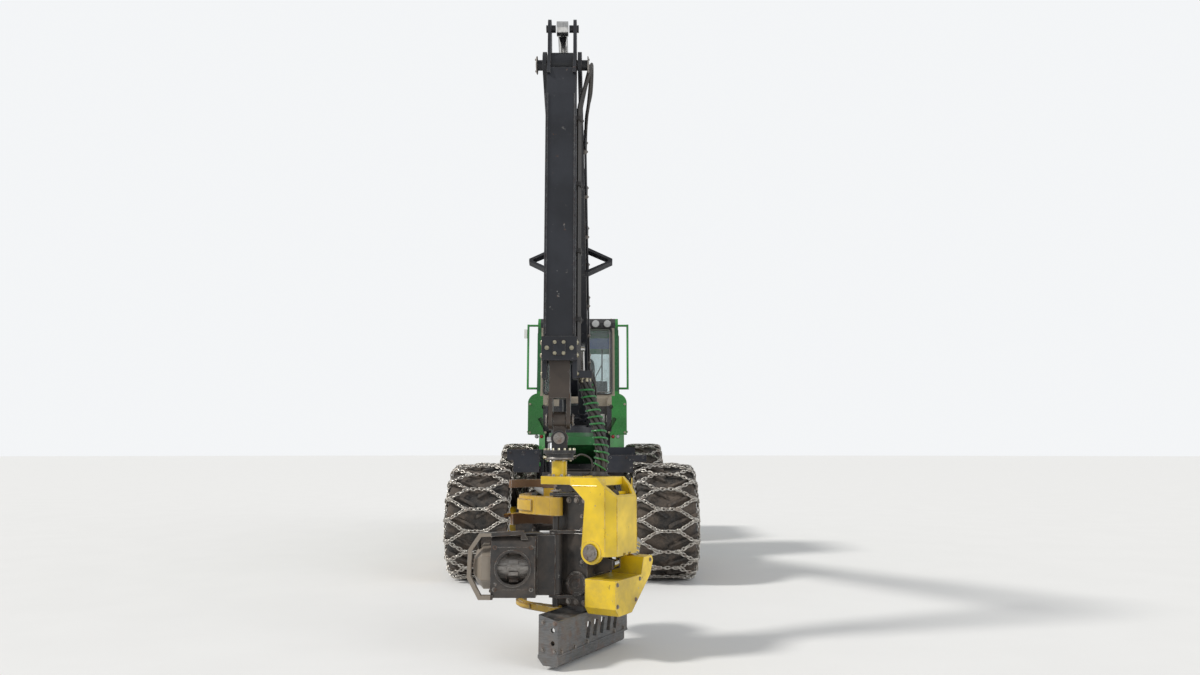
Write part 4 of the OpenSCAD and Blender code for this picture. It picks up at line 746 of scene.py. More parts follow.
def lug(form, tyre, side, angle, step):
    """One lug from the tread's middle out over the shoulder, leaning forward, its top tapered."""
    r, w = tyre["radius"], tyre["width"]
    base = r - LUG_HEIGHT - 0.012
    # Share of the half width, top radius, foot radius, lean and half thickness at each station
    stations = ((0.02, r - 0.006, base, 0.52, 0.024), (0.22, r, base, 0.38, 0.022),
                (0.46, r, base, 0.22, 0.021), (0.72, r - 0.001, base, 0.08, 0.022),
                (0.9, r - 0.01, base - 0.012, 0.01, 0.025),
                (0.985, r - 0.045, base - 0.05, 0.0, 0.026),
                (1.0, r - 0.085, base - 0.07, 0.0, 0.022))
    small = bmesh.new()
    face = None
    for share, top, foot, lean, thick in stations:
        x = side * share * w / 2
        corners = []
        for radius, spread in ((foot, 1.35), (top, 0.9)):
            for way in (-1, 1):
                turn = angle + lean * step * 1.15 + way * thick * spread / radius
                corners.append(Vector((x, radius * math.cos(turn), radius * math.sin(turn))))
        corners = [corners[0], corners[1], corners[3], corners[2]]
        if face is None:
            face = small.faces.new([small.verts.new(corner) for corner in corners])
            continue
        pulled = bmesh.ops.extrude_face_region(small, geom=[face])["geom"]
        new = [f for f in pulled if isinstance(f, bmesh.types.BMFace)][0]
        for vert, corner in zip(new.verts, corners):
            vert.co = corner
        face = new
    bmesh.ops.recalc_face_normals(small, faces=small.faces)
    Form.soften_all(small, 0.006, 1)
    form.join_form(small, form.place)


def tyre_form(tyre):
    """Carcass with beads and side wall ribs, and two rows of slanted lugs."""
    form = Form(Matrix.Identity(4))
    r, w, rim, count = tyre["radius"], tyre["width"], tyre["rim"], tyre["lugs"]
    base = r - LUG_HEIGHT
    wall = base - rim
    half = [(rim - 0.004, 0.36 * w), (rim, 0.4 * w), (rim + 0.02, 0.405 * w), (rim + 0.03, 0.418 * w),
            (rim + 0.12 * wall, 0.44 * w), (rim + 0.2 * wall, 0.462 * w),
            (rim + 0.215 * wall, 0.474 * w), (rim + 0.245 * wall, 0.478 * w),
            (rim + 0.26 * wall, 0.48 * w), (rim + 0.4 * wall, 0.495 * w), (rim + 0.6 * wall, 0.5 * w),
            (rim + 0.78 * wall, 0.492 * w), (rim + 0.9 * wall, 0.47 * w),
            (base - 0.006, 0.43 * w), (base, 0.3 * w), (base + 0.003, 0.0)]
    outline = half + [(radius, -off) for radius, off in reversed(half[:-1])]
    outline.append(outline[0])
    form.lathe(outline, (0, 0, 0), (1, 0, 0), steps=sizes().tyre_steps)
    step = math.tau / count
    for row, side in enumerate((1, -1)):
        for number in range(count):
            lug(form, tyre, side, (number + 0.5 * row) * step, step)
    return form


def link_mesh(wire, pitch, width):
    """One oval chain link, its length along X."""
    small = bmesh.new()
    bmesh.ops.create_circle(small, segments=5, radius=wire / 2)
    bmesh.ops.rotate(small, verts=small.verts, cent=(0, 0, 0),
                     matrix=Matrix.Rotation(math.pi / 2, 3, "X"))
    bmesh.ops.translate(small, verts=small.verts, vec=(width / 2, 0, 0))
    bmesh.ops.spin(small, geom=small.edges[:], cent=(0, 0, 0), axis=(0, 0, 1), angle=math.tau, steps=8,
                   use_merge=True, use_duplicate=False)
    bmesh.ops.remove_doubles(small, verts=small.verts, dist=0.0001)
    reach = (pitch + wire) / 2 - width / 2
    for side in (1, -1):
        end = [v for v in small.verts if v.co.x * side > 0.0005]
        bmesh.ops.translate(small, verts=end, vec=(side * reach, 0, 0))
    bmesh.ops.recalc_face_normals(small, faces=small.faces)
    for face in small.faces:
        face.smooth = True
    mesh = bpy.data.meshes.new("link")
    small.to_mesh(mesh)
    small.free()
    return mesh


def chain_net(tyre):
    """Net of tyre chain: crossing runs of links over the tread, hung on a ring chain down each side."""
    r, w = tyre["radius"], tyre["width"]
    wire = sizes().chain_wire
    pitch = sizes().chain_pitch - 0.012
    link = link_mesh(wire, pitch, 0.034)
    ring = link_mesh(wire * 1.15, 0.03, 0.052)
    ring_r = r - LUG_HEIGHT - 0.095
    section = ((0.0, r + 0.012, 0.0), (0.5, r + 0.012, 0.36 * w), (0.62, r + 0.004, 0.455 * w),
               (0.7, r - 0.03, 0.5 * w + 0.012), (1.0, ring_r, 0.5 * w + 0.018))
    step = math.tau / tyre["lugs"]
    bm = bmesh.new()

    def on_tyre(s, angle):
        """Point at a share s of the way from the tread's middle to a side ring."""
        for (s0, r0, x0), (s1, r1, x1) in zip(section, section[1:]):
            if abs(s) <= s1:
                t = (abs(s) - s0) / (s1 - s0)
                radius, x = r0 + (r1 - r0) * t, x0 + (x1 - x0) * t
                break
        return Vector((math.copysign(x, s) if s else 0, radius * math.cos(angle),
                       radius * math.sin(angle)))

    def put(mesh, where, along, out, roll):
        """Sets one link down, lengthwise along the run, rolled about it."""
        along = along.normalized()
        side = out.cross(along).normalized()
        out = along.cross(side)
        turn = Matrix((along, side, out)).transposed().to_4x4()
        copy = mesh.copy()
        copy.transform(Matrix.Translation(where) @ turn @ Matrix.Rotation(roll, 4, "X"))
        bm.from_mesh(copy)
        bpy.data.meshes.remove(copy)

    def run(start, end):
        """Run of links between two points on the tyre, every other one turned."""
        rough = [on_tyre(start[0] + (end[0] - start[0]) * t / 24,
                         start[1] + (end[1] - start[1]) * t / 24)
                 for t in range(25)]
        lengths = [0.0]
        for a, b in zip(rough, rough[1:]):
            lengths.append(lengths[-1] + (b - a).length)
        count = max(2, round(lengths[-1] / pitch))
        for number in range(count):
            want = (number + 0.5) / count * lengths[-1]
            k = max(i for i in range(24) if lengths[i] <= want)
            t = (want - lengths[k]) / (lengths[k + 1] - lengths[k])
            where = rough[k].lerp(rough[k + 1], t)
            along = rough[min(k + 2, 24)] - rough[max(k - 1, 0)]
            out = Vector((0, where.y, where.z)).normalized()
            if abs(where.x) > 0.47 * w:
                out = (out * 0.25 + Vector((math.copysign(1, where.x), 0, 0))).normalized()
            put(link, where, along, out, LINK_ROLL if number % 2 else -LINK_ROLL)

    for number in range(tyre["lugs"]):
        mid = (number + 0.25) * step
        half = mid + step / 2
        run((-0.24, half), (0.24, half))
        for side in (1, -1):
            run((side, mid), (side * 0.62, mid))
            run((side, mid), (side, mid + step))
            run((side * 0.62, mid), (side * 0.24, half))
            run((side * 0.62, mid + step), (side * 0.24, half))
            for s, angle in ((0.62, mid), (0.24, half), (1.0, mid)):
                where = on_tyre(side * s, angle)
                out = Vector((0, where.y, where.z)).normalized()
                if s == 1.0:
                    out = Vector((side, 0, 0))
                put(ring, where, Vector((0, -math.sin(angle), math.cos(angle))), out, 0)
    mesh = bpy.data.meshes.new("chain")
    bm.to_mesh(mesh)
    bm.free()
    for spare in (link, ring):
        bpy.data.meshes.remove(spare)
    return mesh


class HARVESTER_OT_tyres(bpy.types.Operator):
    """Six tyres with slanted lugs"""

    bl_idname = "harvester.tyres"
    bl_label = "Tyres"

    def execute(self, context):
        for tyre in (FRONT_TYRE, REAR_TYRE):
            base = tyre_form(tyre).mesh("tyre", angle=40)
            set_on_wheels(tyre, base, "tread", "tyre", stand_for=True)
        return {"FINISHED"}


class HARVESTER_OT_chains(bpy.types.Operator):
    """Tyre chains, link by link"""

    bl_idname = "harvester.chains"
    bl_label = "Tyre chains"

    def execute(self, context):
        for tyre in (FRONT_TYRE, REAR_TYRE):
            set_on_wheels(tyre, chain_net(tyre), "chain", "chain")
        return {"FINISHED"}


class HARVESTER_OT_wheel_nuts(bpy.types.Operator):
    """Wheel nuts, hub covers and valves"""

    bl_idname = "harvester.wheel_nuts"
    bl_label = "Wheel nuts"

    def execute(self, context):
        for name, side, tyre in WHEELS:
            form = Form(wheel_matrix(name, side))
            rim = tyre["rim"]
            form.bolts(around((-0.071, 0, 0), "X", 0.222, even(16)), (1, 0, 0), 0.034, 0.026)
            form.bolts(around((0.049, 0, 0), "X", 0.088, even(8, 0.5)), (1, 0, 0), 0.022, 0.012)
            form.lathe([(0.0, 0.012), (0.05, 0.011), (0.062, 0.006), (0.066, 0.0), (0.0, 0.0)],
                       (0.0495, 0, 0), (1, 0, 0), steps=24)
            form.pipe(rounded([(-0.055, 0, rim - 0.085), (-0.015, 0, rim - 0.085),
                               (0.02, 0, rim - 0.06)], 0.02), 0.006, 8)
            form.done(f"wheel_nuts_{name}", f"wheel_{name}", "steel", "bare_steel")
        return {"FINISHED"}


# Finish of each CAD node that shows as it is, by the start of its name
NODE_FINISHES = {
    "front_frame": "tower", "bogie_boxes": "frame", "front_decks": "deck", "bumper_pipe": "grey",
    "tilt_base": "dark_green", "tilt_barrels": "crane", "tilt_rods": "chrome", "slew_pillar": "crane",
    "main_boom": "crane", "lift_barrels": "crane", "lift_rods": "chrome", "stick": "crane",
    "stick_barrel": "crane", "stick_rod": "chrome", "extension": "brown", "hanger_link": "brown",
    "rotator": "frame", "head_hanger": "yellow", "head_tilt_barrel": "head_black",
    "head_tilt_rod": "chrome", "head_frame": "head_black", "head_covers": "yellow",
    "saw_box": "saw", "saw_bar": "worn",
    "cab_base": "frame", "cab_shell": "cab", "cab_glass": "glass", "cab_door_glass": "glass",
    "cab_door": "door", "rear_frame": "frame", "engine": "engine", "hood": "hood", "hood_lid": "green",
    "upper_knife": "knife", "lower_knife": "knife", "feed_arm_left": "arm_left",
    "feed_arm_right": "arm_right", "feed_roller": "worn", "steer_barrel": "frame",
    "steer_rod": "chrome", "rim": "yellow", "hose_bundle": "hose",
    "cab_lamps": "lamp", "cab_seat": "cloth", "tyre": "tyre",
}


class HARVESTER_OT_finishes(bpy.types.Operator):
    """Finishes on the solids that show as they are"""

    bl_idname = "harvester.finishes"
    bl_label = "Finishes of the solids"

    def execute(self, context):
        for node, obj in frame["nodes"].items():
            key = max((key for key in NODE_FINISHES if node.startswith(key)), key=len)
            obj.data.materials.clear()
            obj.data.materials.append(FINISHES[NODE_FINISHES[key]])
        return {"FINISHED"}


# Places on the crane, in the machine's own frame
HEAD_Y = ROTATOR.y - SHIFT_Y
KNUCKLE = Vector((0, HEAD_Y + 0.06, 4.924))
BOOM_FOOT = Vector((0, 0.12, 2.42))
BOOM_RUN = KNUCKLE - BOOM_FOOT
BOOM_PLACE = (Matrix.Translation(at(*BOOM_FOOT))
              @ Matrix.Rotation(-math.atan2(BOOM_RUN.z, -BOOM_RUN.y), 4, "X"))
BOOM_HALF = 0.17
LIFT_FOOT = Vector((0, -0.25, 2.005))
STICK_HALF = 0.125
STICK_FRONT = HEAD_Y - 0.15
STICK_LOW = KNUCKLE.z - 2.64
HOSE_TOP = 2.15
HOSE_LOW = 1.357
# Route of the hose bundle: X, distance before the stick's middle, Z
HOSE_ROUTE = ((0.205, 0.0, HOSE_TOP), (0.225, 0.006, 2.04), (0.262, 0.014, 1.92), (0.3, 0.024, 1.8),
              (0.328, 0.034, 1.68), (0.342, 0.044, 1.57), (0.34, 0.052, 1.47), (0.318, 0.058, 1.4),
              (0.318, 0.058, HOSE_LOW))
STRANDS = 6
STRAND_TWIST = 0.85
SPIRAL_PITCH = 0.058
SPIRAL_WIRE = 0.0075
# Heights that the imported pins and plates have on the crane's lower end
LINK_PIN_Z = 1.809
CROSS_PIN_Z = 1.659
PLATE_Z = 1.564


def carried_frames(path):
    """Point, two cross directions and the way so far, carried along a path without twist."""
    frames = []
    side = Vector((0, 1, 0))
    way = 0.0
    for index, point in enumerate(path):
        ahead = (path[min(index + 1, len(path) - 1)] - path[max(index - 1, 0)]).normalized()
        across = ahead.cross(side).normalized()
        side = across.cross(ahead).normalized()
        way += (point - path[index - 1]).length if index else 0.0
        frames.append((point, across, side.copy(), way))
    return frames


def wound(frames, radius, pitch, start=0.0):
    """Path that winds round another one."""
    return [point + (across * math.cos(start + math.tau * way / pitch)
                     + side * math.sin(start + math.tau * way / pitch)) * radius
            for point, across, side, way in frames]


class HARVESTER_OT_hose_bundle(bpy.types.Operator):
    """Bundle of twisted hoses in a green spiral, from the stick down to the head"""

    bl_idname = "harvester.hose_bundle"
    bl_label = "Hose bundle"

    def execute(self, context):
        route = [Vector((x, HEAD_Y - off, z)) for x, off, z in HOSE_ROUTE]
        path = smooth_path(route, 56)
        frames = carried_frames(path)
        outer = sizes().hose_width / 2
        thick = outer * 0.325
        bundle = Form().pipe(path[::8], thick, sides=8)
        coarse = frames[::8] + frames[-1:]
        for strand in range(STRANDS):
            bundle.pipe(wound(coarse, outer - thick, STRAND_TWIST, strand * math.tau / STRANDS), thick,
                        sides=8)
        cord = bundle.done("hoses_bundle", "stick", "hose", "hose", ["hose_bundle"])
        spiral = Form().pipe(wound(frames[30:-30], outer + 0.004, SPIRAL_PITCH), SPIRAL_WIRE, sides=8)
        wrap = spiral.done("hoses_spiral", "stick", "spiral", "hose")
        ends = Form()
        half_ferrule = Vector((0, 0, 0.03))
        for strand in range(STRANDS):
            for centre in wound((frames[2], frames[-3]), outer - thick, STRAND_TWIST,
                                strand * math.tau / STRANDS):
                ends.rod(centre - half_ferrule, centre + half_ferrule, thick * 1.05, sides=12,
                         bevel=0.002)
        fittings = ends.done("hoses_ferrules", "stick", "zinc", "bare_steel")
        return {"FINISHED"}


class HARVESTER_OT_stick(bpy.types.Operator):
    """Raised plate edges, collar bolts, hoses and pin caps of the stick and the knuckle"""

    bl_idname = "harvester.stick"
    bl_label = "Stick"

    def execute(self, context):
        top = KNUCKLE.z - 0.36
        back = HEAD_Y + 0.15
        edges = Form()
        for side in (-1, 1):
            for y in (STICK_FRONT - 0.004, back + 0.004):
                edges.box((side * STICK_HALF - 0.006, y - 0.008, STICK_LOW + 0.2),
                          (side * STICK_HALF + 0.006, y + 0.008, top), bevel=0.003)
                edges.rod((side * (STICK_HALF - 0.011), y, STICK_LOW + 0.22),
                          (side * (STICK_HALF - 0.011), y, top), 0.006, sides=8)
        edges.done("stick_edges", "stick", "crane", "black_paint")
        bolts = Form()
        plate_y = STICK_FRONT - 0.031
        bolts.bolts([(x, plate_y, STICK_LOW + z) for x in (-0.036, 0.036) for z in (0.055, 0.145)],
                    (0, -1, 0), width=0.02, height=0.016)
        for side in (-1, 1):
            bolts.bolts([(side * (STICK_HALF + 0.019), HEAD_Y + y, STICK_LOW + z)
                         for y in (-0.12, -0.04, 0.04, 0.12) for z in (0.045, 0.15)], (side, 0, 0))
            bolts.bolts([(side * (STICK_HALF + 0.019), HEAD_Y + y, STICK_LOW - 0.1)
                         for y in (-0.06, 0.06)], (side, 0, 0), width=0.024)
            bolts.bolts([(side * 0.1, STICK_FRONT - 0.019, STICK_LOW + 0.1)], (0, -1, 0), width=0.024)
        bolts.done("stick_bolts", "stick", "zinc", "bare_steel")
        # Hoses from the gland up the stick's left side, over the knuckle to the boom's pipes
        hoses, clamps, arcs = Form(), Form(), Form()
        bend_z = KNUCKLE.z - 0.52
        for row in range(4):
            x = STICK_HALF + 0.02 + 0.012 * (row % 2)
            y = HEAD_Y - 0.05 + 0.034 * row
            hoses.pipe([(x, y, HOSE_TOP + 0.05), (x, y, bend_z)], 0.0135, sides=10)
            over = bend_z + 0.03 * row
            arcs.pipe(smooth_path([(x, y, bend_z), (x + 0.01, y + 0.01, bend_z + 0.12),
                                   (x + 0.075, y + 0.1, over + 0.4), (x + 0.1, y + 0.26, over + 0.56),
                                   (x + 0.09, y + 0.45, bend_z + 0.47),
                                   (BOOM_HALF + 0.03, HEAD_Y + 0.66, over + 0.22),
                                   (BOOM_HALF + 0.018, HEAD_Y + 0.9, over + 0.035)], 8),
                      0.0135, sides=10)
        for z in (2.62, 3.2, 3.78, bend_z - 0.04):
            clamps.box((STICK_HALF, HEAD_Y - 0.075, z), (STICK_HALF + 0.052, HEAD_Y + 0.075, z + 0.036),
                       bevel=0.005)
            clamps.bolts([(STICK_HALF + 0.052, HEAD_Y - 0.002, z + 0.018)], (1, 0, 0), width=0.02)
        arcs.done("knuckle_hoses", ("main_boom", "stick", at(0, HEAD_Y + 0.85, bend_z + 0.2),
                                    at(0, HEAD_Y, bend_z + 0.05)), "hose", "hose")
        hoses.done("stick_hoses", "stick", "hose", "hose")
        clamps.done("stick_hose_clamps", "stick", "plastic", "black_paint")
        caps = Form()
        for side in (-1, 1):
            centre = Vector((side * (BOOM_HALF + 0.05), KNUCKLE.y, KNUCKLE.z))
            caps.lathe([(0, 0.014), (0.036, 0.014), (0.04, 0.01), (0.072, 0.01), (0.078, 0.004),
                        (0.078, 0)], centre, (side, 0, 0))
            caps.bolts(around(centre + Vector((side * 0.01, 0, 0)), "X", 0.056, (0.5, 2.6, 4.7)),
                       (side, 0, 0), width=0.018, height=0.009, washer=False)
        caps.done("knuckle_caps", "main_boom", "worn", "bare_steel")
        return {"FINISHED"}


class HARVESTER_OT_boom(bpy.types.Operator):
    """Pipes with clamps, feed hoses and welds of the main boom, and the pillar's pin caps"""

    bl_idname = "harvester.boom"
    bl_label = "Main boom"

    def execute(self, context):
        pipes, clamps = Form(BOOM_PLACE), Form(BOOM_PLACE)
        side = BOOM_HALF + 0.018
        for row in range(5):
            z = 0.026 * (row - 2)
            pipes.pipe([(side, -0.5, z), (side, -4.28, z)], 0.011, sides=10)
            pipes.rod((side, -4.34, z), (side, -4.26, z), 0.016, sides=6)
            pipes.rod((side, -0.44, z), (side, -0.52, z), 0.016, sides=6)
        for step in range(7):
            y = -0.7 - 0.58 * step
            clamps.box((BOOM_HALF, y - 0.02, -0.08), (BOOM_HALF + 0.034, y + 0.02, 0.08), bevel=0.004)
            clamps.bolts([(BOOM_HALF + 0.034, y, z) for z in (-0.066, 0.066)], (1, 0, 0), width=0.018,
                         height=0.01)
        pipes.done("boom_pipes", "main_boom", "crane", "black_paint")
        clamps.done("boom_clamps", "main_boom", "worn", "bare_steel")
        # Feed hoses from the pillar up to the pipes, kept by a clamp on the boom's foot
        feed = Form(BOOM_PLACE)
        for row in range(5):
            z = 0.026 * (row - 2)
            feed.pipe(smooth_path([(side, -0.46, z), (side + 0.02, -0.36, z - 0.01),
                                   (side + 0.075, -0.2, z - 0.05), (side + 0.085, 0.02, z - 0.14),
                                   (side + 0.085, 0.12, z - 0.3)], 6),
                      0.0125, sides=8)
        feed.done("boom_feed_hoses", "main_boom", "hose", "hose")
        welds = Form(BOOM_PLACE)
        for sign in (-1, 1):
            for z0, z1 in ((-0.187, -0.15), (0.167, 0.15)):
                welds.pipe([(sign * (BOOM_HALF + 0.001), -1.5, z0),
                            (sign * (BOOM_HALF + 0.001), -3.785, z1)], 0.005, sides=6)
            welds.box((sign * BOOM_HALF - 0.005, -1.1, -0.12), (sign * BOOM_HALF + 0.005, -0.62, 0.1),
                      bevel=0.004)
        welds.done("boom_welds", "main_boom", "crane", "black_paint")
        caps = Form()
        for sign in (-1, 1):
            for place, reach, radius in ((BOOM_FOOT, BOOM_HALF + 0.07, 0.066),
                                         (LIFT_FOOT, BOOM_HALF + 0.06, 0.052)):
                centre = Vector((sign * reach, place.y, place.z))
                caps.lathe([(0, 0.012), (radius * 0.4, 0.012), (radius * 0.45, 0.008), (radius, 0.008),
                            (radius, 0)], centre, (sign, 0, 0), steps=28)
        caps.done("pillar_caps", "crane_pillar", "worn", "bare_steel")
        return {"FINISHED"}


class HARVESTER_OT_rotator(bpy.types.Operator):
    """Bolt ring, ports and band of the rotator, and the link's pin caps"""

    bl_idname = "harvester.rotator"
    bl_label = "Rotator"

    def execute(self, context):
        low_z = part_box("rotator")[0].z
        ring = Form()
        ring.bolts(around((0, HEAD_Y, PLATE_Z), "Z", 0.121, even(16)), (0, 0, 1), width=0.019,
                   height=0.016, washer=False)
        ring.bolts(around((0, HEAD_Y, low_z), "Z", 0.1, even(8, 0.5)), (0, 0, -1), width=0.017,
                   height=0.009, washer=False)
        for angle in (0.3, 0.9, 1.5, 3.6):
            out = Vector((math.cos(angle), math.sin(angle), 0))
            centre = Vector((0, HEAD_Y, PLATE_Z - 0.054))
            ring.rod(centre + out * 0.112, centre + out * 0.14, 0.014, sides=6)
        ring.done("rotator_bolts", "rotator", "zinc", "bare_steel")
        drum = Form()
        drum.lathe([(0.1155, 0), (0.1185, 0.004), (0.1185, 0.012), (0.1155, 0.016)],
                   (0, HEAD_Y, PLATE_Z - 0.075), (0, 0, 1), steps=48)
        drum.done("rotator_band", "rotator", "worn", "bare_steel")
        caps = Form()
        for sign in (-1, 1):
            centre = Vector((sign * 0.104, HEAD_Y, LINK_PIN_Z))
            caps.lathe([(0, 0.012), (0.02, 0.012), (0.024, 0.008), (0.05, 0.008), (0.052, 0)], centre,
                       (sign, 0, 0), steps=24)
            caps.bolts([centre + Vector((sign * 0.008, 0, 0.036 * k)) for k in (-1, 1)], (sign, 0, 0),
                       width=0.015, height=0.008, washer=False)
        caps.done("link_caps", "extension", "worn", "bare_steel")
        cross = Form()
        for sign in (-1, 1):
            centre = Vector((0, HEAD_Y + sign * 0.094, CROSS_PIN_Z))
            cross.lathe([(0, 0.01), (0.018, 0.01), (0.02, 0.007), (0.046, 0.007), (0.047, 0)], centre,
                        (0, sign, 0), steps=24)
        cross.done("cross_pin_caps", "rotator", "worn", "bare_steel")
        return {"FINISHED"}


class HARVESTER_OT_cylinders(bpy.types.Operator):
    """Gland nuts, ports and pipes of the crane's cylinders"""

    bl_idname = "harvester.cylinders"
    bl_label = "Cylinders"

    def execute(self, context):
        stick_foot = BOOM_PLACE @ Vector((0, -2.75, 0.29)) - at(0, 0, 0)
        stick_tail = Vector((0, KNUCKLE.y - 0.04, KNUCKLE.z + 0.32))
        lift_eye = BOOM_PLACE @ Vector((0, -1.48, -0.39)) - at(0, 0, 0)
        for name, body, foot, head, side, radius, length in (
                ("stick", "stick_barrel", stick_foot, stick_tail, 0.0, 0.07, 1.5),
                ("lift_left", "lift_barrels", LIFT_FOOT, lift_eye, 0.104, 0.058, 0.9),
                ("lift_right", "lift_barrels", LIFT_FOOT, lift_eye, -0.104, 0.058, 0.9)):
            foot, head = foot + Vector((side, 0, 0)), head + Vector((side, 0, 0))
            line = (head - foot).normalized()
            form = Form()
            form.lathe([(radius + 0.0085, 0), (radius + 0.014, 0.003), (radius + 0.014, 0.022),
                        (radius + 0.0085, 0.025)], foot + line * (length - 0.055), line, steps=32)
            form.lathe([(radius + 0.001, 0), (radius + 0.007, 0.004), (radius + 0.007, 0.012),
                        (radius + 0.001, 0.016)], foot + line * 0.12, line, steps=32)
            up = Vector((1 if side >= 0 else -1, 0, 0)).cross(line).normalized()
            up = up if up.z > 0 else -up
            for way in (0.16, length - 0.12):
                start = foot + line * way
                form.rod(start + up * (radius - 0.01), start + up * (radius + 0.03), 0.02, sides=20,
                         bevel=0.003)
            form.pipe(rounded([foot + line * (length - 0.12) + up * (radius + 0.026),
                               foot + line * (length - 0.2) + up * (radius + 0.03),
                               foot + line * 0.24 + up * (radius + 0.03),
                               foot + line * 0.19 + up * (radius + 0.026)], 0.03), 0.009, sides=8)
            form.done("cylinder_" + name, body, "crane", "black_paint")
        return {"FINISHED"}


# Places on the felling head, in its own frame
HEAD_PIVOT = Vector((0, -0.43, 0.8))
HANGER_TOP = 1.357
ROLLER = Vector((0.3, 0.062, 0.7))


def arm_place(side):
    """Frame of a feed arm as it stands, its X running out from the spine."""
    return (HEAD_PLACE @ Matrix.Diagonal((side, 1, 1, 1)) @ Matrix.Translation(CLAW_PIN)
            @ Matrix.Rotation(-ARM_OPEN, 4, "Z") @ Matrix.Translation(-CLAW_PIN))


def pin_cap(form, centre, direction, radius, count=3):
    """Retaining plate on a pin's end, with its screws."""
    direction = Vector(direction)
    form.lathe([(0, 0.013), (radius * 0.36, 0.013), (radius * 0.42, 0.009), (radius * 0.93, 0.009),
                (radius, 0.004), (radius, 0)], centre, direction, steps=28)
    turn = facing(direction)
    places = [Vector(centre) + turn @ place
              for place in around((0, 0, 0.008), "Z", 0.68 * radius, even(count))]
    form.bolts(places, direction, width=radius * 0.28, height=0.009, washer=False)
    return form


class HARVESTER_OT_hanger(bpy.types.Operator):
    """Neck bolts, seams, hose grommet, cable and inner hoses of the head's yellow hanger"""

    bl_idname = "harvester.hanger"
    bl_label = "Head hanger"

    def execute(self, context):
        bolts = Form(HEAD_PLACE)
        bolts.bolts(around((0, 0, HANGER_TOP), "Z", 0.084, even(8)), (0, 0, 1), width=0.022,
                    height=0.016)
        for side in (-1, 1):
            pin_cap(bolts, HEAD_PIVOT + Vector((side * 0.236, 0, 0)), (side, 0, 0), 0.062)
        bolts.done("hanger_bolts", "head_hanger", "worn", "bare_steel")
        seams = Form(HEAD_PLACE)
        for side in (-1, 1):
            seams.pipe([(side * 0.158, -0.6195, 0.815), (side * 0.158, -0.6195, 1.2)], 0.0045, sides=6)
            seams.pipe([(side * 0.22, -0.549, 0.815), (side * 0.22, -0.549, 1.345)], 0.0045, sides=6)
            seams.pipe([(side * 0.22, -0.48, HANGER_TOP - 0.064),
                        (side * 0.22, -0.26, HANGER_TOP - 0.064)], 0.0045, sides=6)
            # Stiffening rim of the side plates round the tilt pin
            seams.lathe([(0.066, 0), (0.086, 0), (0.088, 0.003), (0.086, 0.006), (0.066, 0.006)],
                        HEAD_PIVOT + Vector((side * 0.22, 0, 0)), (side, 0, 0), steps=40)
        seams.box((-0.1, -0.3, HANGER_TOP), (0.1, -0.285, HANGER_TOP + 0.006), bevel=0.002)
        seams.done("hanger_seams", "head_hanger", "yellow", "yellow_paint")
        grommet = Form()
        foot = Vector((0.318, HEAD_Y - 0.058, HANGER_TOP))
        grommet.lathe([(0.05, 0), (0.088, 0), (0.088, 0.01), (0.074, 0.014), (0.07, 0.034),
                       (0.062, 0.04), (0.05, 0.04), (0.05, 0)], foot, (0, 0, 1), steps=40)
        grommet.bolts(around(foot + Vector((0, 0, 0.009)), "Z", 0.08, (0.6, 2.2, 3.7, 5.3)), (0, 0, 1),
                      width=0.013, height=0.007, washer=False)
        grommet.done("hanger_grommet", "head_hanger", "plastic", "black_paint")
        cable = Form(HEAD_PLACE)
        cable.pipe(smooth_path([(0.0, -0.135, 1.5), (0.02, -0.2, 1.53), (0.05, -0.27, 1.49),
                                (0.06, -0.27, 1.4), (0.05, -0.2, HANGER_TOP)], 8), 0.007, sides=8)
        cable.rod((0.05, -0.2, HANGER_TOP), (0.05, -0.2, HANGER_TOP + 0.02), 0.013, sides=6)
        cable.done("hanger_cable", "head_hanger", "hose", "hose")
        inner = Form(HEAD_PLACE)
        for side in (-1, 1):
            for row in range(3):
                x = side * (0.085 + 0.03 * row)
                inner.pipe(smooth_path([(x, -0.47, 1.29), (x, -0.5, 1.2),
                                        (x + side * 0.008, -0.545, 1.1), (x, -0.53, 1.01),
                                        (x, -0.46, 0.985), (x, -0.4, 1.0 + 0.03 * row),
                                        (x, -0.372, 1.03 + 0.03 * row)], 6), 0.0125, sides=8)
        inner.done("head_inner_hoses", ("head_hanger", "head", HEAD_PLACE @ Vector((0, -0.5, 1.15)),
                                        HEAD_PLACE @ Vector((0, -0.45, 1.0))), "hose", "hose")
        return {"FINISHED"}


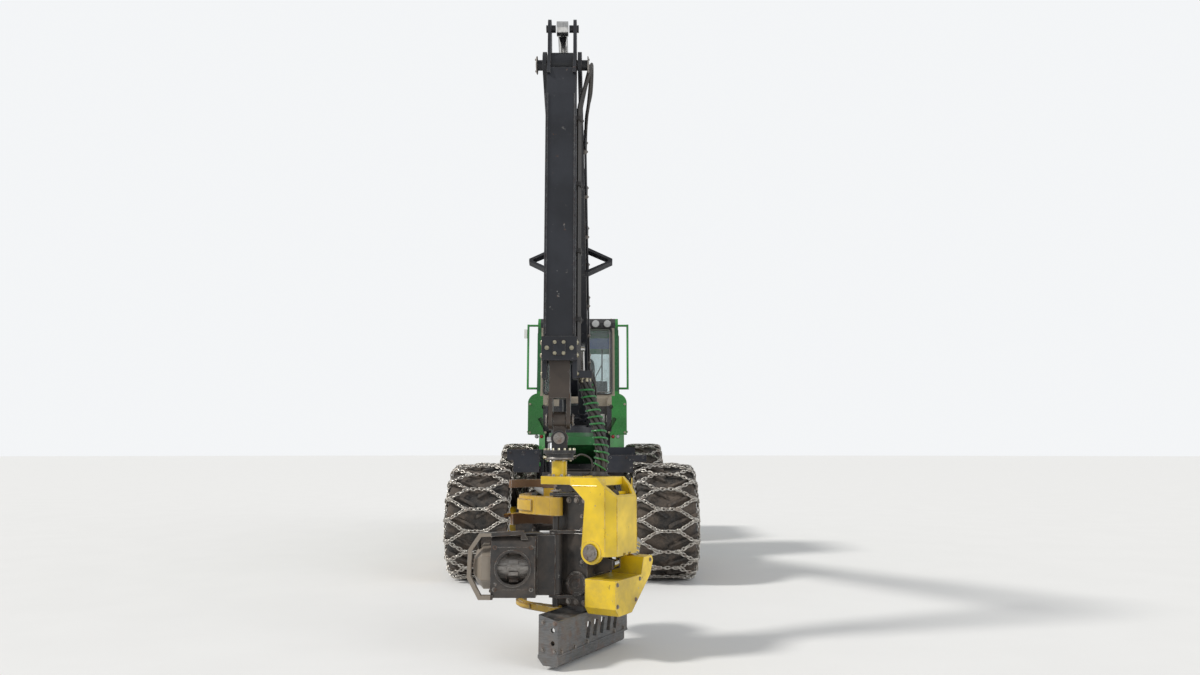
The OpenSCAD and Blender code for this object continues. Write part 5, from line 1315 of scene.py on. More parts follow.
class HARVESTER_OT_spine(bpy.types.Operator):
    """Pin caps, measuring-wheel covers, valve blocks and guard of the felling head"""

    bl_idname = "harvester.spine"
    bl_label = "Head spine"

    def execute(self, context):
        caps, black, blocks = Form(HEAD_PLACE), Form(HEAD_PLACE), Form(HEAD_PLACE)
        for side in (-1, 1):
            for z, way in ((1.246, 1), (0.29, -1)):
                pin_cap(caps, Vector((side * CLAW_PIN.x, CLAW_PIN.y, z)), (0, 0, way), 0.044)
            caps.bolts([(side * 0.17, y, z) for y in (-0.34, -0.27, -0.2) for z in (0.42, 1.18)],
                       (side, 0, 0))
            caps.bolts([(side * 0.17, -0.32, z) for z in (0.72, 0.82, 0.96, 1.06)], (side, 0, 0),
                       width=0.022)
            # Round cover of the measuring wheel
            centre = Vector((side * 0.176, -0.285, 0.56))
            black.lathe([(0, 0.03), (0.03, 0.03), (0.036, 0.022), (0.066, 0.02), (0.072, 0.026),
                         (0.086, 0.026), (0.092, 0.02), (0.092, 0)], centre, (side, 0, 0), steps=48)
            black.bolts(around(centre + Vector((side * 0.025, 0, 0)), "X", 0.079, even(6)), (side, 0, 0),
                        width=0.015, height=0.008, washer=False)
            blocks.box((side * 0.115 - 0.05, -0.415, 1.0), (side * 0.115 + 0.05, -0.367, 1.15),
                       bevel=0.004)
            for x in (0.085, 0.115, 0.145):
                blocks.rod((side * x, -0.39, 1.15), (side * x, -0.39, 1.172), 0.012, sides=6)
        # Seams of the decks on the spine
        for z in (0.448, 0.472, 0.928, 0.952, 1.212):
            for side in (-1, 1):
                black.pipe([(side * 0.171, -0.36, z), (side * 0.171, -0.255, z)], 0.004, sides=6)
        caps.done("head_pin_caps", "head", "worn", "bare_steel")
        black.done("head_wheel_covers", "head", "head_black", "black_paint")
        blocks.done("head_valve_blocks", "head", "zinc", "bare_steel")
        # Ribbed grey guard over the saw motor's hoses
        guard = Form(HEAD_PLACE)
        lean = Vector((math.sin(math.radians(24)), 0, math.cos(math.radians(24))))
        profile = [(0.06, 0.0), (0.064, 0.0)]
        for rib in range(6):
            z = 0.012 + 0.018 * rib
            profile += [(0.065, z), (0.073, z + 0.003), (0.073, z + 0.008), (0.065, z + 0.011)]
        profile += [(0.066, 0.122), (0.063, 0.136), (0.052, 0.15), (0.037, 0.156), (0, 0.158)]
        guard.lathe(profile, (0.322, -0.47, 0.724), lean, steps=40)
        guard.done("head_guard", "head", "grey", "grey_paint")
        # Screws of the yellow cover
        screws = Form(HEAD_PLACE)
        cover_y = -0.634
        screws.bolts([(x, cover_y, z) for x, z in ((-0.18, 0.42), (0.11, 0.43), (-0.18, 0.575),
                                                   (0.18, 0.575), (0.36, 0.7))],
                     (0, -1, 0), width=0.022, height=0.01)
        screws.done("head_cover_screws", "head", "worn", "bare_steel")
        return {"FINISHED"}


class HARVESTER_OT_feed_arms(bpy.types.Operator):
    """Motor covers, hoses, hole rims and bolts of the feed arms"""

    bl_idname = "harvester.feed_arms"
    bl_label = "Feed arms"

    def execute(self, context):
        for name, side in (("left", 1), ("right", -1)):
            place = arm_place(side)
            body = "feed_arm_" + name
            cover, black, hoses = Form(place), Form(place), Form(place)
            face = Vector((ROLLER.x + 0.02, ARM_END + 0.125, ROLLER.z))
            cover.lathe([(0, 0.02), (0.03, 0.02), (0.036, 0.012), (0.078, 0.01), (0.084, 0.004),
                         (0.084, 0)], face, (0, 1, 0), steps=36)
            cover.bolts(around(face + Vector((0, 0.009, 0)), "Y", 0.066, even(8)), (0, 1, 0),
                        width=0.015, height=0.009, washer=False)
            cover.done("feed_motor_cover_" + name, body, "housing", "black_paint")
            out_x = 0.489
            black.lathe([(0.116, 0), (0.134, 0), (0.136, 0.003), (0.134, 0.006), (0.116, 0.006)],
                        (out_x, 0.197, ROLLER.z), (1, 0, 0), steps=48)
            for z in (0.55, 0.85):
                black.bolts([(out_x, y, z) for y in (0.06, 0.33)], (1, 0, 0), width=0.022)
            black.bolts([(0.26, -0.02, z) for z in (0.52, 0.88)], (0, 0, 1), width=0.01, height=0.004,
                        washer=False)
            for x, z in ((0.3, 0.51), (0.42, 0.53), (0.3, 0.89), (0.42, 0.87)):
                black.bolts([(x, ARM_END, z)], (0, 1, 0), width=0.022)
            pin_cap(black, Vector((CLAW_PIN.x, CLAW_PIN.y, 0.924)), (0, 0, 1), 0.048, 4)
            black.done("feed_arm_fittings_" + name, body, "head_black", "black_paint")
            for row in range(2):
                x = 0.335 + 0.034 * row
                hoses.pipe(smooth_path([(0.25 + 0.02 * row, -0.03, 0.905),
                                        (0.28 + 0.02 * row, 0.02, 0.932), (x, 0.16, 0.935),
                                        (x, 0.36, 0.935), (x, 0.45, 0.91), (x - 0.01, 0.47, 0.86),
                                        (0.3 + 0.034 * row, 0.455, 0.815)], 6), 0.0115, sides=8)
                hoses.rod((0.3 + 0.034 * row, 0.45, 0.80), (0.3 + 0.034 * row, 0.456, 0.83), 0.016,
                          sides=6)
            hoses.done("feed_arm_hoses_" + name, body, "hose", "hose")
        return {"FINISHED"}


class HARVESTER_OT_saw(bpy.types.Operator):
    """Saw chain, motor cap, bolts and rubbed edges of the saw box"""

    bl_idname = "harvester.saw"
    bl_label = "Saw box and chain"

    def execute(self, context):
        form = Form(HEAD_PLACE)
        half = 0.525
        form.bolts([(x, -0.335, 0.13) for x in (-0.48, -0.3, -0.12, 0.3, 0.46)], (0, -1, 0), width=0.026)
        for side in (-1, 1):
            form.bolts([(side * half, y, z) for z in (0.14, 0.33) for y in (-0.31, -0.21)], (side, 0, 0),
                       width=0.022)
        motor = Vector((0.4, -0.235, 0.499))
        form.lathe([(0, 0.014), (0.03, 0.014), (0.034, 0.01), (0.045, 0.008), (0.046, 0)], motor,
                   (0, 0, 1), steps=32)
        for angle in (1.2, 2.2):
            out = Vector((math.cos(angle), math.sin(angle), 0))
            form.rod(motor + out * 0.05 - Vector((0, 0, 0.06)),
                     motor + out * 0.085 - Vector((0, 0, 0.06)), 0.016, sides=6)
        form.done("saw_bolts", "head", "worn", "bare_steel")
        rails = Form(HEAD_PLACE)
        rails.box((-half + 0.002, -0.342, 0.1), (half - 0.002, -0.334, 0.116), bevel=0.003)
        rails.pipe([(-half, -0.3355, 0.345), (half, -0.3355, 0.345)], 0.005, sides=6)
        rails.done("saw_rails", "head", "saw", "grey_paint")
        # Chain round the bar: drive links and cutters in turn
        chain = Form(HEAD_PLACE)
        z = 0.167
        track = rounded([(0.40, -0.302, z), (-0.44, -0.2635, z), (-0.484, -0.22, z), (-0.44, -0.1785, z),
                         (0.40, -0.168, z), (0.467, -0.235, z), (0.40, -0.302, z)], 0.05, 5)
        frames = carried_frames(smooth_path(track[::2] + [track[0]], 6))
        pitch, due = 0.0205, 0.0
        for number, (point, *_, way) in enumerate(frames[:-1]):
            if way < due:
                continue
            ahead = frames[number + 1][0]
            due += pitch
            run = (ahead - point).normalized()
            turn = Matrix.Rotation(math.atan2(run.y, run.x), 4, "Z")
            cutter = round(way / pitch) % 3 == 0
            chain.box(point - Vector((0.0095, 0.004, 0.004)),
                      point + Vector((0.0095, 0.007 if cutter else 0.003, 0.004)), bevel=0, turn=turn)
        chain.done("saw_chain", "saw_bar", "chain", "bare_steel")
        return {"FINISHED"}


# Places on the cab, in the machine's own frame
CAB_HALF = 0.6
WINDSCREEN = (0.505, 2.39, 3.39)
ROOF_Z = 3.54
CAB_BACK = 2.34
SEAT_FLOOR = 1.9


def cab_front(z):
    """How far back the leaning front wall is at a height."""
    return 0.8 + (z - 2.33) * 0.1053


def rectangle(u0, v0, u1, v1):
    """Four corners of a pane, in turn."""
    return (u0, v0), (u1, v0), (u1, v1), (u0, v1)


def pane_frame(form, corners, radius, width=0.011):
    """Rubber profile round a pane, through its corners."""
    corners = [Vector(corner) for corner in corners]
    middle_of_side = (corners[0] + corners[-1]) / 2
    path = rounded([middle_of_side, *corners, middle_of_side], radius, 4)
    return form.pipe(path[:-1], width, sides=8, closed=True)


# Seams and folds of the seat's cushions; a seam's width is a share of half the cushion
SEAM_DEPTH = 0.006
SEAM_WIDTH = 0.045
FOLD_DEPTH = 0.0025


def cushion(low, high, power=5.0, seams=(), puff=0.012):
    """Upholstered block: rounded all over, fuller in its middle, drawn in along seams across X."""
    low, high = Vector(low), Vector(high)
    centre, half = (low + high) / 2, (high - low) / 2
    small = bmesh.new()
    bmesh.ops.create_cube(small, size=2)
    bmesh.ops.subdivide_edges(small, edges=small.edges, cuts=15, use_grid_fill=True)
    for vert in small.verts:
        n = vert.co.copy()
        length = sum(abs(part) ** power for part in n) ** (1 / power)
        n /= length
        swell = puff * max(0.0, 1 - n.x ** 2) * max(0.0, 1 - n.y ** 2) if abs(n.z) > 0.7 else 0.0
        dent = sum(math.exp(-((n.x - seam) / SEAM_WIDTH) ** 2) for seam in seams) * SEAM_DEPTH
        fold = FOLD_DEPTH * noise.noise(Vector((n.x * 5, n.y * 5, n.z * 3)))
        shape = Vector((n.x * half.x, n.y * half.y, n.z * half.z))
        inward = n.normalized() * (dent - fold + puff * 0.8)
        vert.co = centre + shape + Vector((0, 0, math.copysign(swell, n.z))) - inward
    return small


class HARVESTER_OT_seat(bpy.types.Operator):
    """Upholstered driver's seat with armrests, joysticks and a sprung base"""

    bl_idname = "harvester.seat"
    bl_label = "Seat"

    def execute(self, context):
        padded_parts = {
            "seat_cushion": cushion((-0.262, 1.396, SEAT_FLOOR + 0.345),
                                    (0.262, 1.925, SEAT_FLOOR + 0.462), seams=(-0.55, 0.55)),
            "seat_headrest": cushion((-0.13, 1.985, SEAT_FLOOR + 1.14), (0.13, 2.075, SEAT_FLOOR + 1.33),
                                     power=4),
        }
        backrest = cushion((-0.252, -0.055, 0.0), (0.252, 0.06, 0.73), seams=(-0.55, 0.55), puff=0.006)
        lean = Matrix.Translation((0, 1.9, SEAT_FLOOR + 0.45)) @ tilt(-10)
        for name, small in (*padded_parts.items(), ("seat_back", backrest)):
            form = Form()
            form.join_form(small, form.place @ (lean if name == "seat_back" else Matrix.Identity(4)))
            piece = form.done(name, "cab", "cloth", "seat", ["cab_seat"], angle=180)
        base = Form()
        base.box((-0.24, 1.42, SEAT_FLOOR + 0.33), (0.24, 1.9, SEAT_FLOOR + 0.355), bevel=0.01)
        for ring in range(7):
            z = SEAT_FLOOR + 0.02 + 0.043 * ring
            base.lathe([(0, 0), (0.078, 0.0), (0.09, 0.012), (0.09, 0.022), (0.078, 0.036), (0, 0.036)],
                       (0, 1.65, z), (0, 0, 1), steps=32)
        for side in (-1, 1):
            base.box((side * 0.345 - 0.068, 1.335, SEAT_FLOOR + 0.56),
                     (side * 0.345 + 0.068, 1.805, SEAT_FLOOR + 0.618), bevel=0.018, segments=3)
            base.box((side * 0.33 - 0.028, 1.655, SEAT_FLOOR + 0.38),
                     (side * 0.33 + 0.028, 1.765, SEAT_FLOOR + 0.56), bevel=0.008)
            base.box((side * 0.29 - 0.04, 1.655, SEAT_FLOOR + 0.36),
                     (side * 0.29 + 0.04, 1.765, SEAT_FLOOR + 0.42), bevel=0.008)
            stick = Vector((side * 0.345, 1.38, SEAT_FLOOR + 0.618))
            base.lathe([(0, 0), (0.034, 0), (0.03, 0.014), (0.018, 0.022), (0.013, 0.045), (0.018, 0.07),
                        (0.022, 0.1), (0.017, 0.118), (0, 0.122)], stick, (0, 0, 1), steps=20)
            for row in range(3):
                base.rod(stick + Vector((side * 0.03, 0.08 + 0.03 * row, 0)),
                         stick + Vector((side * 0.03, 0.08 + 0.03 * row, 0.007)), 0.009, sides=12)
            base.rod((side * 0.06, 2.0, SEAT_FLOOR + 1.06), (side * 0.06, 2.03, SEAT_FLOOR + 1.17),
                     0.006, sides=8)
        base.done("seat_base", "cab", "plastic", "black_paint")
        return {"FINISHED"}


class HARVESTER_OT_cab_lamps(bpy.types.Operator):
    """Work lamps on the roof's edges and small lamps under the corner covers"""

    bl_idname = "harvester.cab_lamps"
    bl_label = "Cab lamps"

    def execute(self, context):
        shells, lenses, marks = Form(), Form(), Form()
        places = [(-0.44 + 0.176 * k, 0.9147, 3.45) for k in range(6)]
        spots = [(Vector(p), Vector((0, -1, 0)), 0.062, 0.0567) for p in places]
        spots += [(Vector((side * 0.43, CAB_BACK + 0.0003, 3.37)), Vector((0, 1, 0)), 0.05, 0.05)
                  for side in (-1, 1)]
        for centre, way, radius, depth in spots:
            shells.lathe([(0, 0), (radius * 0.42, 0), (radius * 0.42, depth * 0.2),
                          (radius * 0.9, depth * 0.55), (radius, depth * 0.62), (radius, depth),
                          (radius * 0.9, depth), (radius * 0.88, depth * 0.9), (0, depth * 0.9)],
                         centre, way, steps=36)
            lenses.lathe([(radius * 0.89, depth * 0.9), (radius * 0.85, depth * 0.98),
                          (radius * 0.5, depth * 1.06), (0, depth * 1.09)], centre, way, steps=36)
        for side in (-1, 1):
            for x, form in ((0.59, lenses), (0.52, marks)):
                centre = Vector((side * x, 0.8, 1.7717))
                shells.lathe([(0, 0), (0.028, 0), (0.028, 0.04), (0.024, 0.042), (0, 0.042)], centre,
                             (0, -1, 0), steps=24)
                form.lathe([(0.0245, 0.041), (0.023, 0.047), (0.012, 0.05), (0, 0.051)], centre,
                           (0, -1, 0), steps=24)
        shells.done("cab_lamp_shells", "cab", "plastic", "black_paint", ["cab_lamps"])
        lenses.done("cab_lamp_lenses", "cab", "lamp", "lamp", ["cab_lamps"])
        marks.done("cab_marker_lenses", "cab", "red", "lamp", ["cab_lamps"])
        return {"FINISHED"}


class HARVESTER_OT_cab(bpy.types.Operator):
    """Window rubbers, wipers, plates, bolts and instruments of the cab"""

    bl_idname = "harvester.cab"
    bl_label = "Cab"

    def execute(self, context):
        seals = Form()
        half, low, high = WINDSCREEN
        pane_frame(seals, [(x, cab_front(z) - 0.002, z) for x, z in rectangle(-half, low, half, high)],
                   0.06)
        pane_frame(seals, [(x, CAB_BACK + 0.002, z) for x, z in rectangle(-half, 2.3, half, 3.32)], 0.06)
        pane_frame(seals, [(-CAB_HALF - 0.002, y, z) for y, z in rectangle(1.01, 2.3, 1.89, 3.34)], 0.06)
        for side in (-1, 1):
            x = side * (CAB_HALF + 0.002)
            pane_frame(seals, [(x, y, z) for y, z in rectangle(1.975, 2.3, 2.235, 3.34)], 0.05)
        seals.done("cab_seals", "cab", "plastic", "black_paint")
        door = Form()
        pane_frame(door, [(CAB_HALF + 0.009, y, z) for y, z in rectangle(1.085, 2.26, 1.815, 3.3)], 0.06)
        door.rod((CAB_HALF + 0.006, 1.1, 2.0), (CAB_HALF + 0.02, 1.1, 2.0), 0.016, sides=20, bevel=0.003)
        door.done("cab_door_seal", "cab_door", "plastic", "black_paint")
        # Pale frame inside the windscreen's rubber
        trim = Form()
        inset = 0.028
        inner = rectangle(-half + inset, low + inset, half - inset, high - inset)
        pane_frame(trim, [(x, cab_front(z) + 0.004, z) for x, z in inner], 0.04, 0.008)
        trim.done("cab_trim", "cab", "trim", "grey_paint")
        wipers = Form()
        for x, tip in ((0.12, (0.36, 2.83)), (-0.14, (-0.4, 2.8))):
            foot = Vector((x, cab_front(2.36) - 0.012, 2.36))
            end = Vector((tip[0], cab_front(tip[1]) - 0.03, tip[1]))
            wipers.rod(foot + Vector((0, 0.02, 0)), foot - Vector((0, 0.03, 0)), 0.02, sides=16,
                       bevel=0.003)
            wipers.pipe([foot - Vector((0, 0.026, 0)), end], 0.006, sides=6)
            wipers.box(end - Vector((0.008, 0.004, 0.24)), end + Vector((0.008, 0.018, 0.24)),
                       bevel=0.003, turn=tilt(-6))
        wipers.done("cab_wipers", "cab", "plastic", "black_paint")
        plates = Form()
        for x0, x1, z0, z1 in ((0.29, 0.4, 1.94, 2.1), (0.425, 0.485, 1.98, 2.08),
                               (-0.42, -0.28, 1.96, 2.08)):
            y = 0.85 - (z0 - 1.85) * 0.1042
            plates.box((x0, y - 0.012, z0), (x1, y - 0.004, z1), bevel=0.002, turn=tilt(6))
        plates.done("cab_plates", "cab", "plate", "grey_paint")
        bolts = Form()
        for side in (-1, 1):
            bolts.bolts([(side * x, 0.744, z) for x in (0.46, 0.69) for z in (1.83, 2.24)], (0, -1, 0),
                        width=0.022)
            bolts.bolts([(side * 0.721, y, 1.84) for y in (0.79, 0.96)], (side, 0, 0), width=0.022)
            bolts.bolts([(side * 0.48, y, 1.78) for y in (1.1, 1.4, 1.7, 2.0)], (side, 0, 0))
        bolts.bolts([(x, 1.02, ROOF_Z) for x in (-0.5, 0.5)], (0, 0, 1), width=0.022)
        bolts.done("cab_bolts", "cab", "zinc", "bare_steel")
        hatch = Form()
        pane_frame(hatch, [(x, y, ROOF_Z + 0.003) for x, y in rectangle(-0.33, 1.15, 0.33, 1.65)], 0.06)
        hatch.box((-0.32, 1.75, ROOF_Z - 0.002), (0.32, 2.18, ROOF_Z + 0.022), bevel=0.008)
        hatch.done("cab_roof_fittings", "cab", "plastic", "black_paint")
        inside = Form()
        inside.box((0.2, 1.0, 2.42), (0.44, 1.022, 2.6), bevel=0.006, turn=tilt(-14))
        inside.pipe([(0.32, 1.02, 2.43), (0.36, 1.06, 2.2), (0.36, 1.06, SEAT_FLOOR)], 0.013, sides=8)
        inside.box((-0.5, 0.95, SEAT_FLOOR), (0.5, 1.05, SEAT_FLOOR + 0.1), bevel=0.01)
        for side in (-1, 1):
            inside.box((side * 0.12 - 0.045, 1.1, SEAT_FLOOR),
                       (side * 0.12 + 0.045, 1.3, SEAT_FLOOR + 0.03), bevel=0.006, turn=tilt(14))
        inside.done("cab_instruments", "cab", "plastic", "black_paint")
        return {"FINISHED"}


# Places on the hood and the rear frame, in the machine's own frame
HOOD_HALF = 0.76
HOOD_BACK = 5.6
HOOD_TOP = 2.42
DECK_Z = 1.3


class HARVESTER_OT_hood(bpy.types.Operator):
    """Grille bars, latches, grab handles and lamps of the engine hood"""

    bl_idname = "harvester.hood"
    bl_label = "Hood"

    def execute(self, context):
        black, zinc = Form(), Form()
        for side in (-1, 1):
            x = side * HOOD_HALF
            # Grille frame and mesh bars behind the slots
            black.pipe(rounded([(x, 3.74, 1.98), (x, 3.74, 1.6), (x, 4.93, 1.6), (x, 4.93, 2.3),
                                (x, 3.74, 2.3), (x, 3.74, 1.99)], 0.05, 4), 0.008, sides=6, closed=True)
            for step in range(20):
                y = 3.79 + 0.06 * step
                black.rod((x - side * 0.03, y, 1.62), (x - side * 0.03, y, 2.28), 0.004, sides=6)
            for y in (3.62, 5.08):
                zinc.box((x - 0.006, y - 0.03, 2.34), (x + 0.006, y + 0.03, 2.4), bevel=0.003)
                zinc.rod((x, y, 2.37), (x + side * 0.016, y, 2.37), 0.012, sides=16, bevel=0.003)
            black.pipe(rounded([(x, 4.1, 1.5), (x + side * 0.035, 4.1, 1.5),
                                (x + side * 0.035, 4.45, 1.5), (x, 4.45, 1.5)], 0.02, 4), 0.011, sides=8)
            zinc.bolts([(x, y, 1.36) for y in (3.6, 3.9, 4.2, 4.5, 4.8, 5.1)], (side, 0, 0), width=0.024)
            # Rear handrail
            black.pipe(rounded([(side * 0.64, HOOD_BACK, 1.75), (side * 0.64, HOOD_BACK + 0.05, 1.75),
                                (side * 0.64, HOOD_BACK + 0.05, 2.25),
                                (side * 0.64, HOOD_BACK, 2.25)], 0.03, 4), 0.013, sides=8)
        black.done("hood_fittings", "rear", "plastic", "black_paint")
        zinc.done("hood_latches", "rear", "zinc", "bare_steel")
        lenses, white = Form(), Form()
        for side in (-1, 1):
            for row, form in enumerate((lenses, lenses, white)):
                z = DECK_Z + 0.085 + 0.053 * row
                form.box((side * 0.61 - 0.04, HOOD_BACK + 0.018, z - 0.022),
                         (side * 0.61 + 0.04, HOOD_BACK + 0.026, z + 0.022), bevel=0.005)
        lenses.done("rear_lamp_red", "rear", "red", "lamp")
        white.done("rear_lamp_white", "rear", "lamp", "lamp")
        lid = Form()
        lid_top = HOOD_TOP + 0.131
        lid.pipe(rounded([(-0.35, 4.55, lid_top), (-0.35, 4.55, lid_top + 0.03),
                          (0.35, 4.55, lid_top + 0.03), (0.35, 4.55, lid_top)], 0.025, 4),
                 0.012, sides=8)
        for x in (-0.3, 0.3):
            lid.pipe([(x, 3.1, lid_top), (x, 5.3, lid_top)], 0.006, sides=6)
        lid.done("hood_lid_fittings", "hood_lid", "hood", "green_paint")
        return {"FINISHED"}


class HARVESTER_OT_chassis(bpy.types.Operator):
    """Bogie bolts, pin caps, deck grips and hoses of the two frames, and the hitch's rings"""

    bl_idname = "harvester.chassis"
    bl_label = "Frames"

    def execute(self, context):
        caps, black, worn = Form(), Form(), Form()
        for side in (-1, 1):
            black.lathe([(0, 0.02), (0.09, 0.02), (0.1, 0.014), (0.2, 0.014), (0.206, 0.006),
                         (0.206, 0)], Vector((side * 0.48, 0, 0.7)), (side, 0, 0), steps=48)
            for end in (-1, 1):
                caps.bolts(around((side * 0.5, end * 0.75, 0.7), "X", 0.19, even(12)), (-side, 0, 0))
            # Tilt pin's retaining plates
            pin_cap(worn, Vector((side * 0.41, 0.15, 1.45)), (side, 0, 0), 0.07)
            worn.bolts([(side * 0.398, y, z)
                        for y, z in ((-0.18, 1.27), (0.1, 1.27), (0.35, 1.27), (0.54, 1.27))],
                       (side, 0, 0))
        pin_cap(worn, Vector((0, 2.1, 1.235)), (0, 0, 1), 0.1, 6)
        caps.done("bogie_bolts", "front", "worn", "bare_steel")
        black.done("frame_covers", "front", "frame", "black_paint")
        worn.done("frame_pin_caps", "front", "worn", "bare_steel")
        decks = Form()
        for low, high in (((-0.815, -0.95), (-0.425, 0.33)), ((0.425, -0.95), (0.9, -0.62)),
                          ((0.425, 0.22), (0.9, 0.33))):
            z = 1.58 if low[0] < 0 else 1.51
            rows = int((high[1] - low[1]) / 0.055)
            for row in range(rows):
                y = low[1] + 0.03 + 0.055 * row
                for k in range(int((high[0] - low[0]) / 0.075)):
                    x = low[0] + 0.04 + 0.075 * k + 0.018 * (row % 2)
                    decks.box((x - 0.018, y - 0.004, z - 0.001), (x + 0.018, y + 0.004, z + 0.003),
                              bevel=0, turn=tilt(45 if row % 2 else -45, "Z"))
        decks.bolts([(x, -0.96, 1.545) for x in (-0.78, -0.62, -0.46)], (0, -1, 0), width=0.022)
        decks.bolts([(x, -0.96, 1.48) for x in (0.46, 0.66, 0.86)], (0, -1, 0), width=0.022)
        decks.done("deck_grips", "front", "deck", "black_paint")
        # Hoses between the frames, hanging in a loop beside the joint
        hoses = Form()
        for row in range(5):
            x = -0.1 + 0.05 * row
            hoses.pipe(smooth_path([(x, 1.72, 1.31), (x, 1.85, 1.36), (x * 1.6, 2.05, 1.4),
                                    (x * 1.6, 2.3, 1.36), (x, 2.5, 1.29), (x, 2.6, 1.262)], 6),
                       0.015, sides=8)
        hoses.done("joint_hoses", ("front", "rear", at(0, 1.85, 1.35), at(0, 2.4, 1.3)), "hose", "hose")
        bumper = Form()
        bumper.bolts([(x, -0.99, z) for x in (-0.45, 0.45) for z in (1.11, 1.19)], (0, -1, 0),
                     width=0.022)
        bumper.done("bumper_bolts", "front", "zinc", "bare_steel")
        hitch = Form()
        for z in (0.865, 0.825, 0.975, 0.935):
            hitch.lathe([(0.034, 0), (0.05, 0), (0.052, 0.003), (0.05, 0.006), (0.034, 0.006)],
                        (0, HOOD_BACK + 0.24, z - 0.003), (0, 0, 1), steps=32)
        hitch.bolts([(x, HOOD_BACK + 0.09, z) for x in (-0.9, -0.6, -0.3, 0.3, 0.6, 0.9)
                     for z in (0.82, 1.12)], (0, 1, 0))
        hitch.done("hitch_fittings", "rear", "worn", "bare_steel")
        return {"FINISHED"}


# Camera that fits the photograph: its place, how far it looks up, and its lens
CAMERA_PLACE = (0.33, -10.95, 1.55)
CAMERA_PITCH = math.radians(8.14)
LENS_MM = 24
SENSOR_MM = 36
# How far the camera sees, the floor's radius, the backdrop's strength, and where the lights aim
SIGHT = 500
FLOOR_RADIUS = 350
BACKDROP = 0.93
SKY_TONE = (0.97, 0.985, 1.0, 1)
LIGHT_AIM = (0, -1.5, 1.6)


class HARVESTER_OT_camera(bpy.types.Operator):
    """Camera at the photograph's place"""

    bl_idname = "harvester.camera"
    bl_label = "Camera"

    def execute(self, context):
        data = bpy.data.cameras.new("camera")
        data.lens = LENS_MM
        data.sensor_width = SENSOR_MM
        data.clip_end = SIGHT
        camera = bpy.data.objects.new("camera", data)
        camera.location = at(*CAMERA_PLACE)
        camera.rotation_euler = (math.pi / 2 + CAMERA_PITCH, 0, 0)
        context.scene.collection.objects.link(camera)
        context.scene.camera = camera
        return {"FINISHED"}


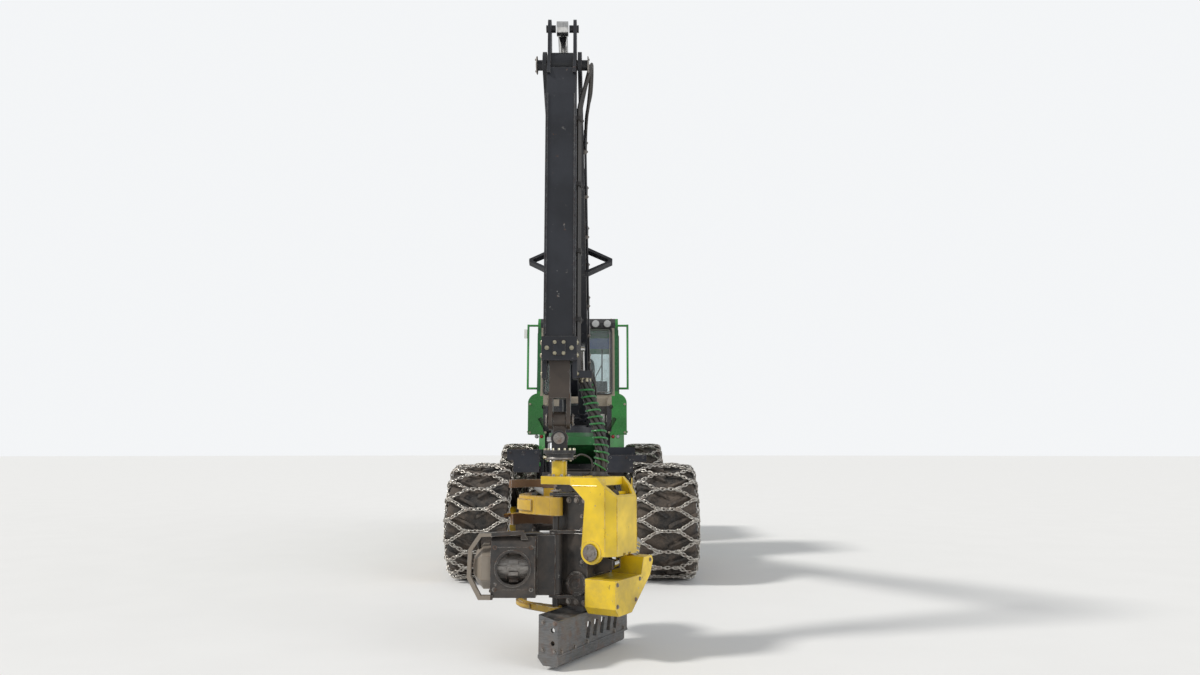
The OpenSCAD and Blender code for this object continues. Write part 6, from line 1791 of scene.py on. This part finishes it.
class HARVESTER_OT_stage(bpy.types.Operator):
    """Plain pale floor and soft studio light"""

    bl_idname = "harvester.stage"
    bl_label = "Floor and light"

    def execute(self, context):
        stage = stage_settings()
        scene = context.scene
        scene.view_settings.view_transform = "Standard"
        bm = bmesh.new()
        bmesh.ops.create_circle(bm, cap_ends=True, segments=128, radius=FLOOR_RADIUS)
        mesh = bpy.data.meshes.new("floor")
        bm.to_mesh(mesh)
        bm.free()
        floor = bpy.data.objects.new("floor", mesh)
        scene.collection.objects.link(floor)
        finish = Finish("floor", roughness=0.9)
        tone = tuple(stage.floor)
        shade = [part * 0.985 for part in tone]
        finish.look(colour=finish.mix(finish.ramp(finish.noise(1.2, 4), 0.3, 0.7), shade, tone))
        floor.data.materials.append(finish.material)
        world = bpy.data.worlds.new("studio")
        scene.world = world
        world.use_nodes = True
        tree = world.node_tree
        background = tree.nodes["Background"]
        path = tree.nodes.new("ShaderNodeLightPath")
        seen = tree.nodes.new("ShaderNodeMath")
        seen.operation = "MAXIMUM"
        tree.links.new(path.outputs["Is Camera Ray"], seen.inputs[0])
        tree.links.new(path.outputs["Is Transmission Ray"], seen.inputs[1])
        strength = tree.nodes.new("ShaderNodeMapRange")
        strength.inputs["To Min"].default_value = stage.sky
        strength.inputs["To Max"].default_value = BACKDROP
        tree.links.new(seen.outputs[0], strength.inputs["Value"])
        tree.links.new(strength.outputs["Result"], background.inputs["Strength"])
        background.inputs["Color"].default_value = SKY_TONE
        for name, place, power, width, tone in (
                ("sun", (-6.5, -3.6, 8.0), stage.sun, 9, (1.0, 0.975, 0.93)),
                ("fill", (7.5, -7.0, 5.0), stage.fill, 40, (0.95, 0.97, 1.0))):
            light = bpy.data.lights.new(name, "SUN")
            light.energy = power
            light.color = tone
            light.angle = math.radians(width)
            lamp = bpy.data.objects.new(name, light)
            lamp.location = at(*place)
            lamp.rotation_euler = (at(*LIGHT_AIM) - lamp.location).to_track_quat("-Z", "Y").to_euler()
            scene.collection.objects.link(lamp)
        return {"FINISHED"}


OPERATORS = (HARVESTER_OT_camera, HARVESTER_OT_finishes, HARVESTER_OT_hose_bundle, HARVESTER_OT_tyres,
             HARVESTER_OT_chains, HARVESTER_OT_wheel_nuts, HARVESTER_OT_stick, HARVESTER_OT_boom,
             HARVESTER_OT_rotator, HARVESTER_OT_cylinders, HARVESTER_OT_hanger, HARVESTER_OT_spine,
             HARVESTER_OT_feed_arms, HARVESTER_OT_saw, HARVESTER_OT_seat, HARVESTER_OT_cab_lamps,
             HARVESTER_OT_cab, HARVESTER_OT_hood, HARVESTER_OT_chassis, HARVESTER_OT_stage)


class HARVESTER_PT_panel(bpy.types.Panel):
    """Lists the sizes, the colours and the operators"""

    bl_idname = "HARVESTER_PT_panel"
    bl_label = "Forestry Harvester"
    bl_space_type = "VIEW_3D"
    bl_region_type = "UI"
    bl_category = "Harvester"

    def draw(self, context):
        for group in (sizes(), colours(), stage_settings()):
            box = self.layout.box()
            for key in group.__annotations__:
                box.prop(group, key)
        for operator in OPERATORS:
            self.layout.operator(operator.bl_idname)


CLASSES = (HarvesterSizes, HarvesterColours, StageSettings, *OPERATORS, HARVESTER_PT_panel)


def register():
    for kind in CLASSES:
        bpy.utils.register_class(kind)
    bpy.types.Scene.harvester_sizes = PointerProperty(type=HarvesterSizes)
    bpy.types.Scene.harvester_colours = PointerProperty(type=HarvesterColours)
    bpy.types.Scene.harvester_stage = PointerProperty(type=StageSettings)


def unregister():
    for key in ("harvester_sizes", "harvester_colours", "harvester_stage"):
        delattr(bpy.types.Scene, key)
    for kind in reversed(CLASSES):
        bpy.utils.unregister_class(kind)


def main():
    register()
    make_finishes()
    for operator in OPERATORS:
        group, call = operator.bl_idname.split(".")
        getattr(getattr(bpy.ops, group), call)()


if __name__ == "__main__":
    main()
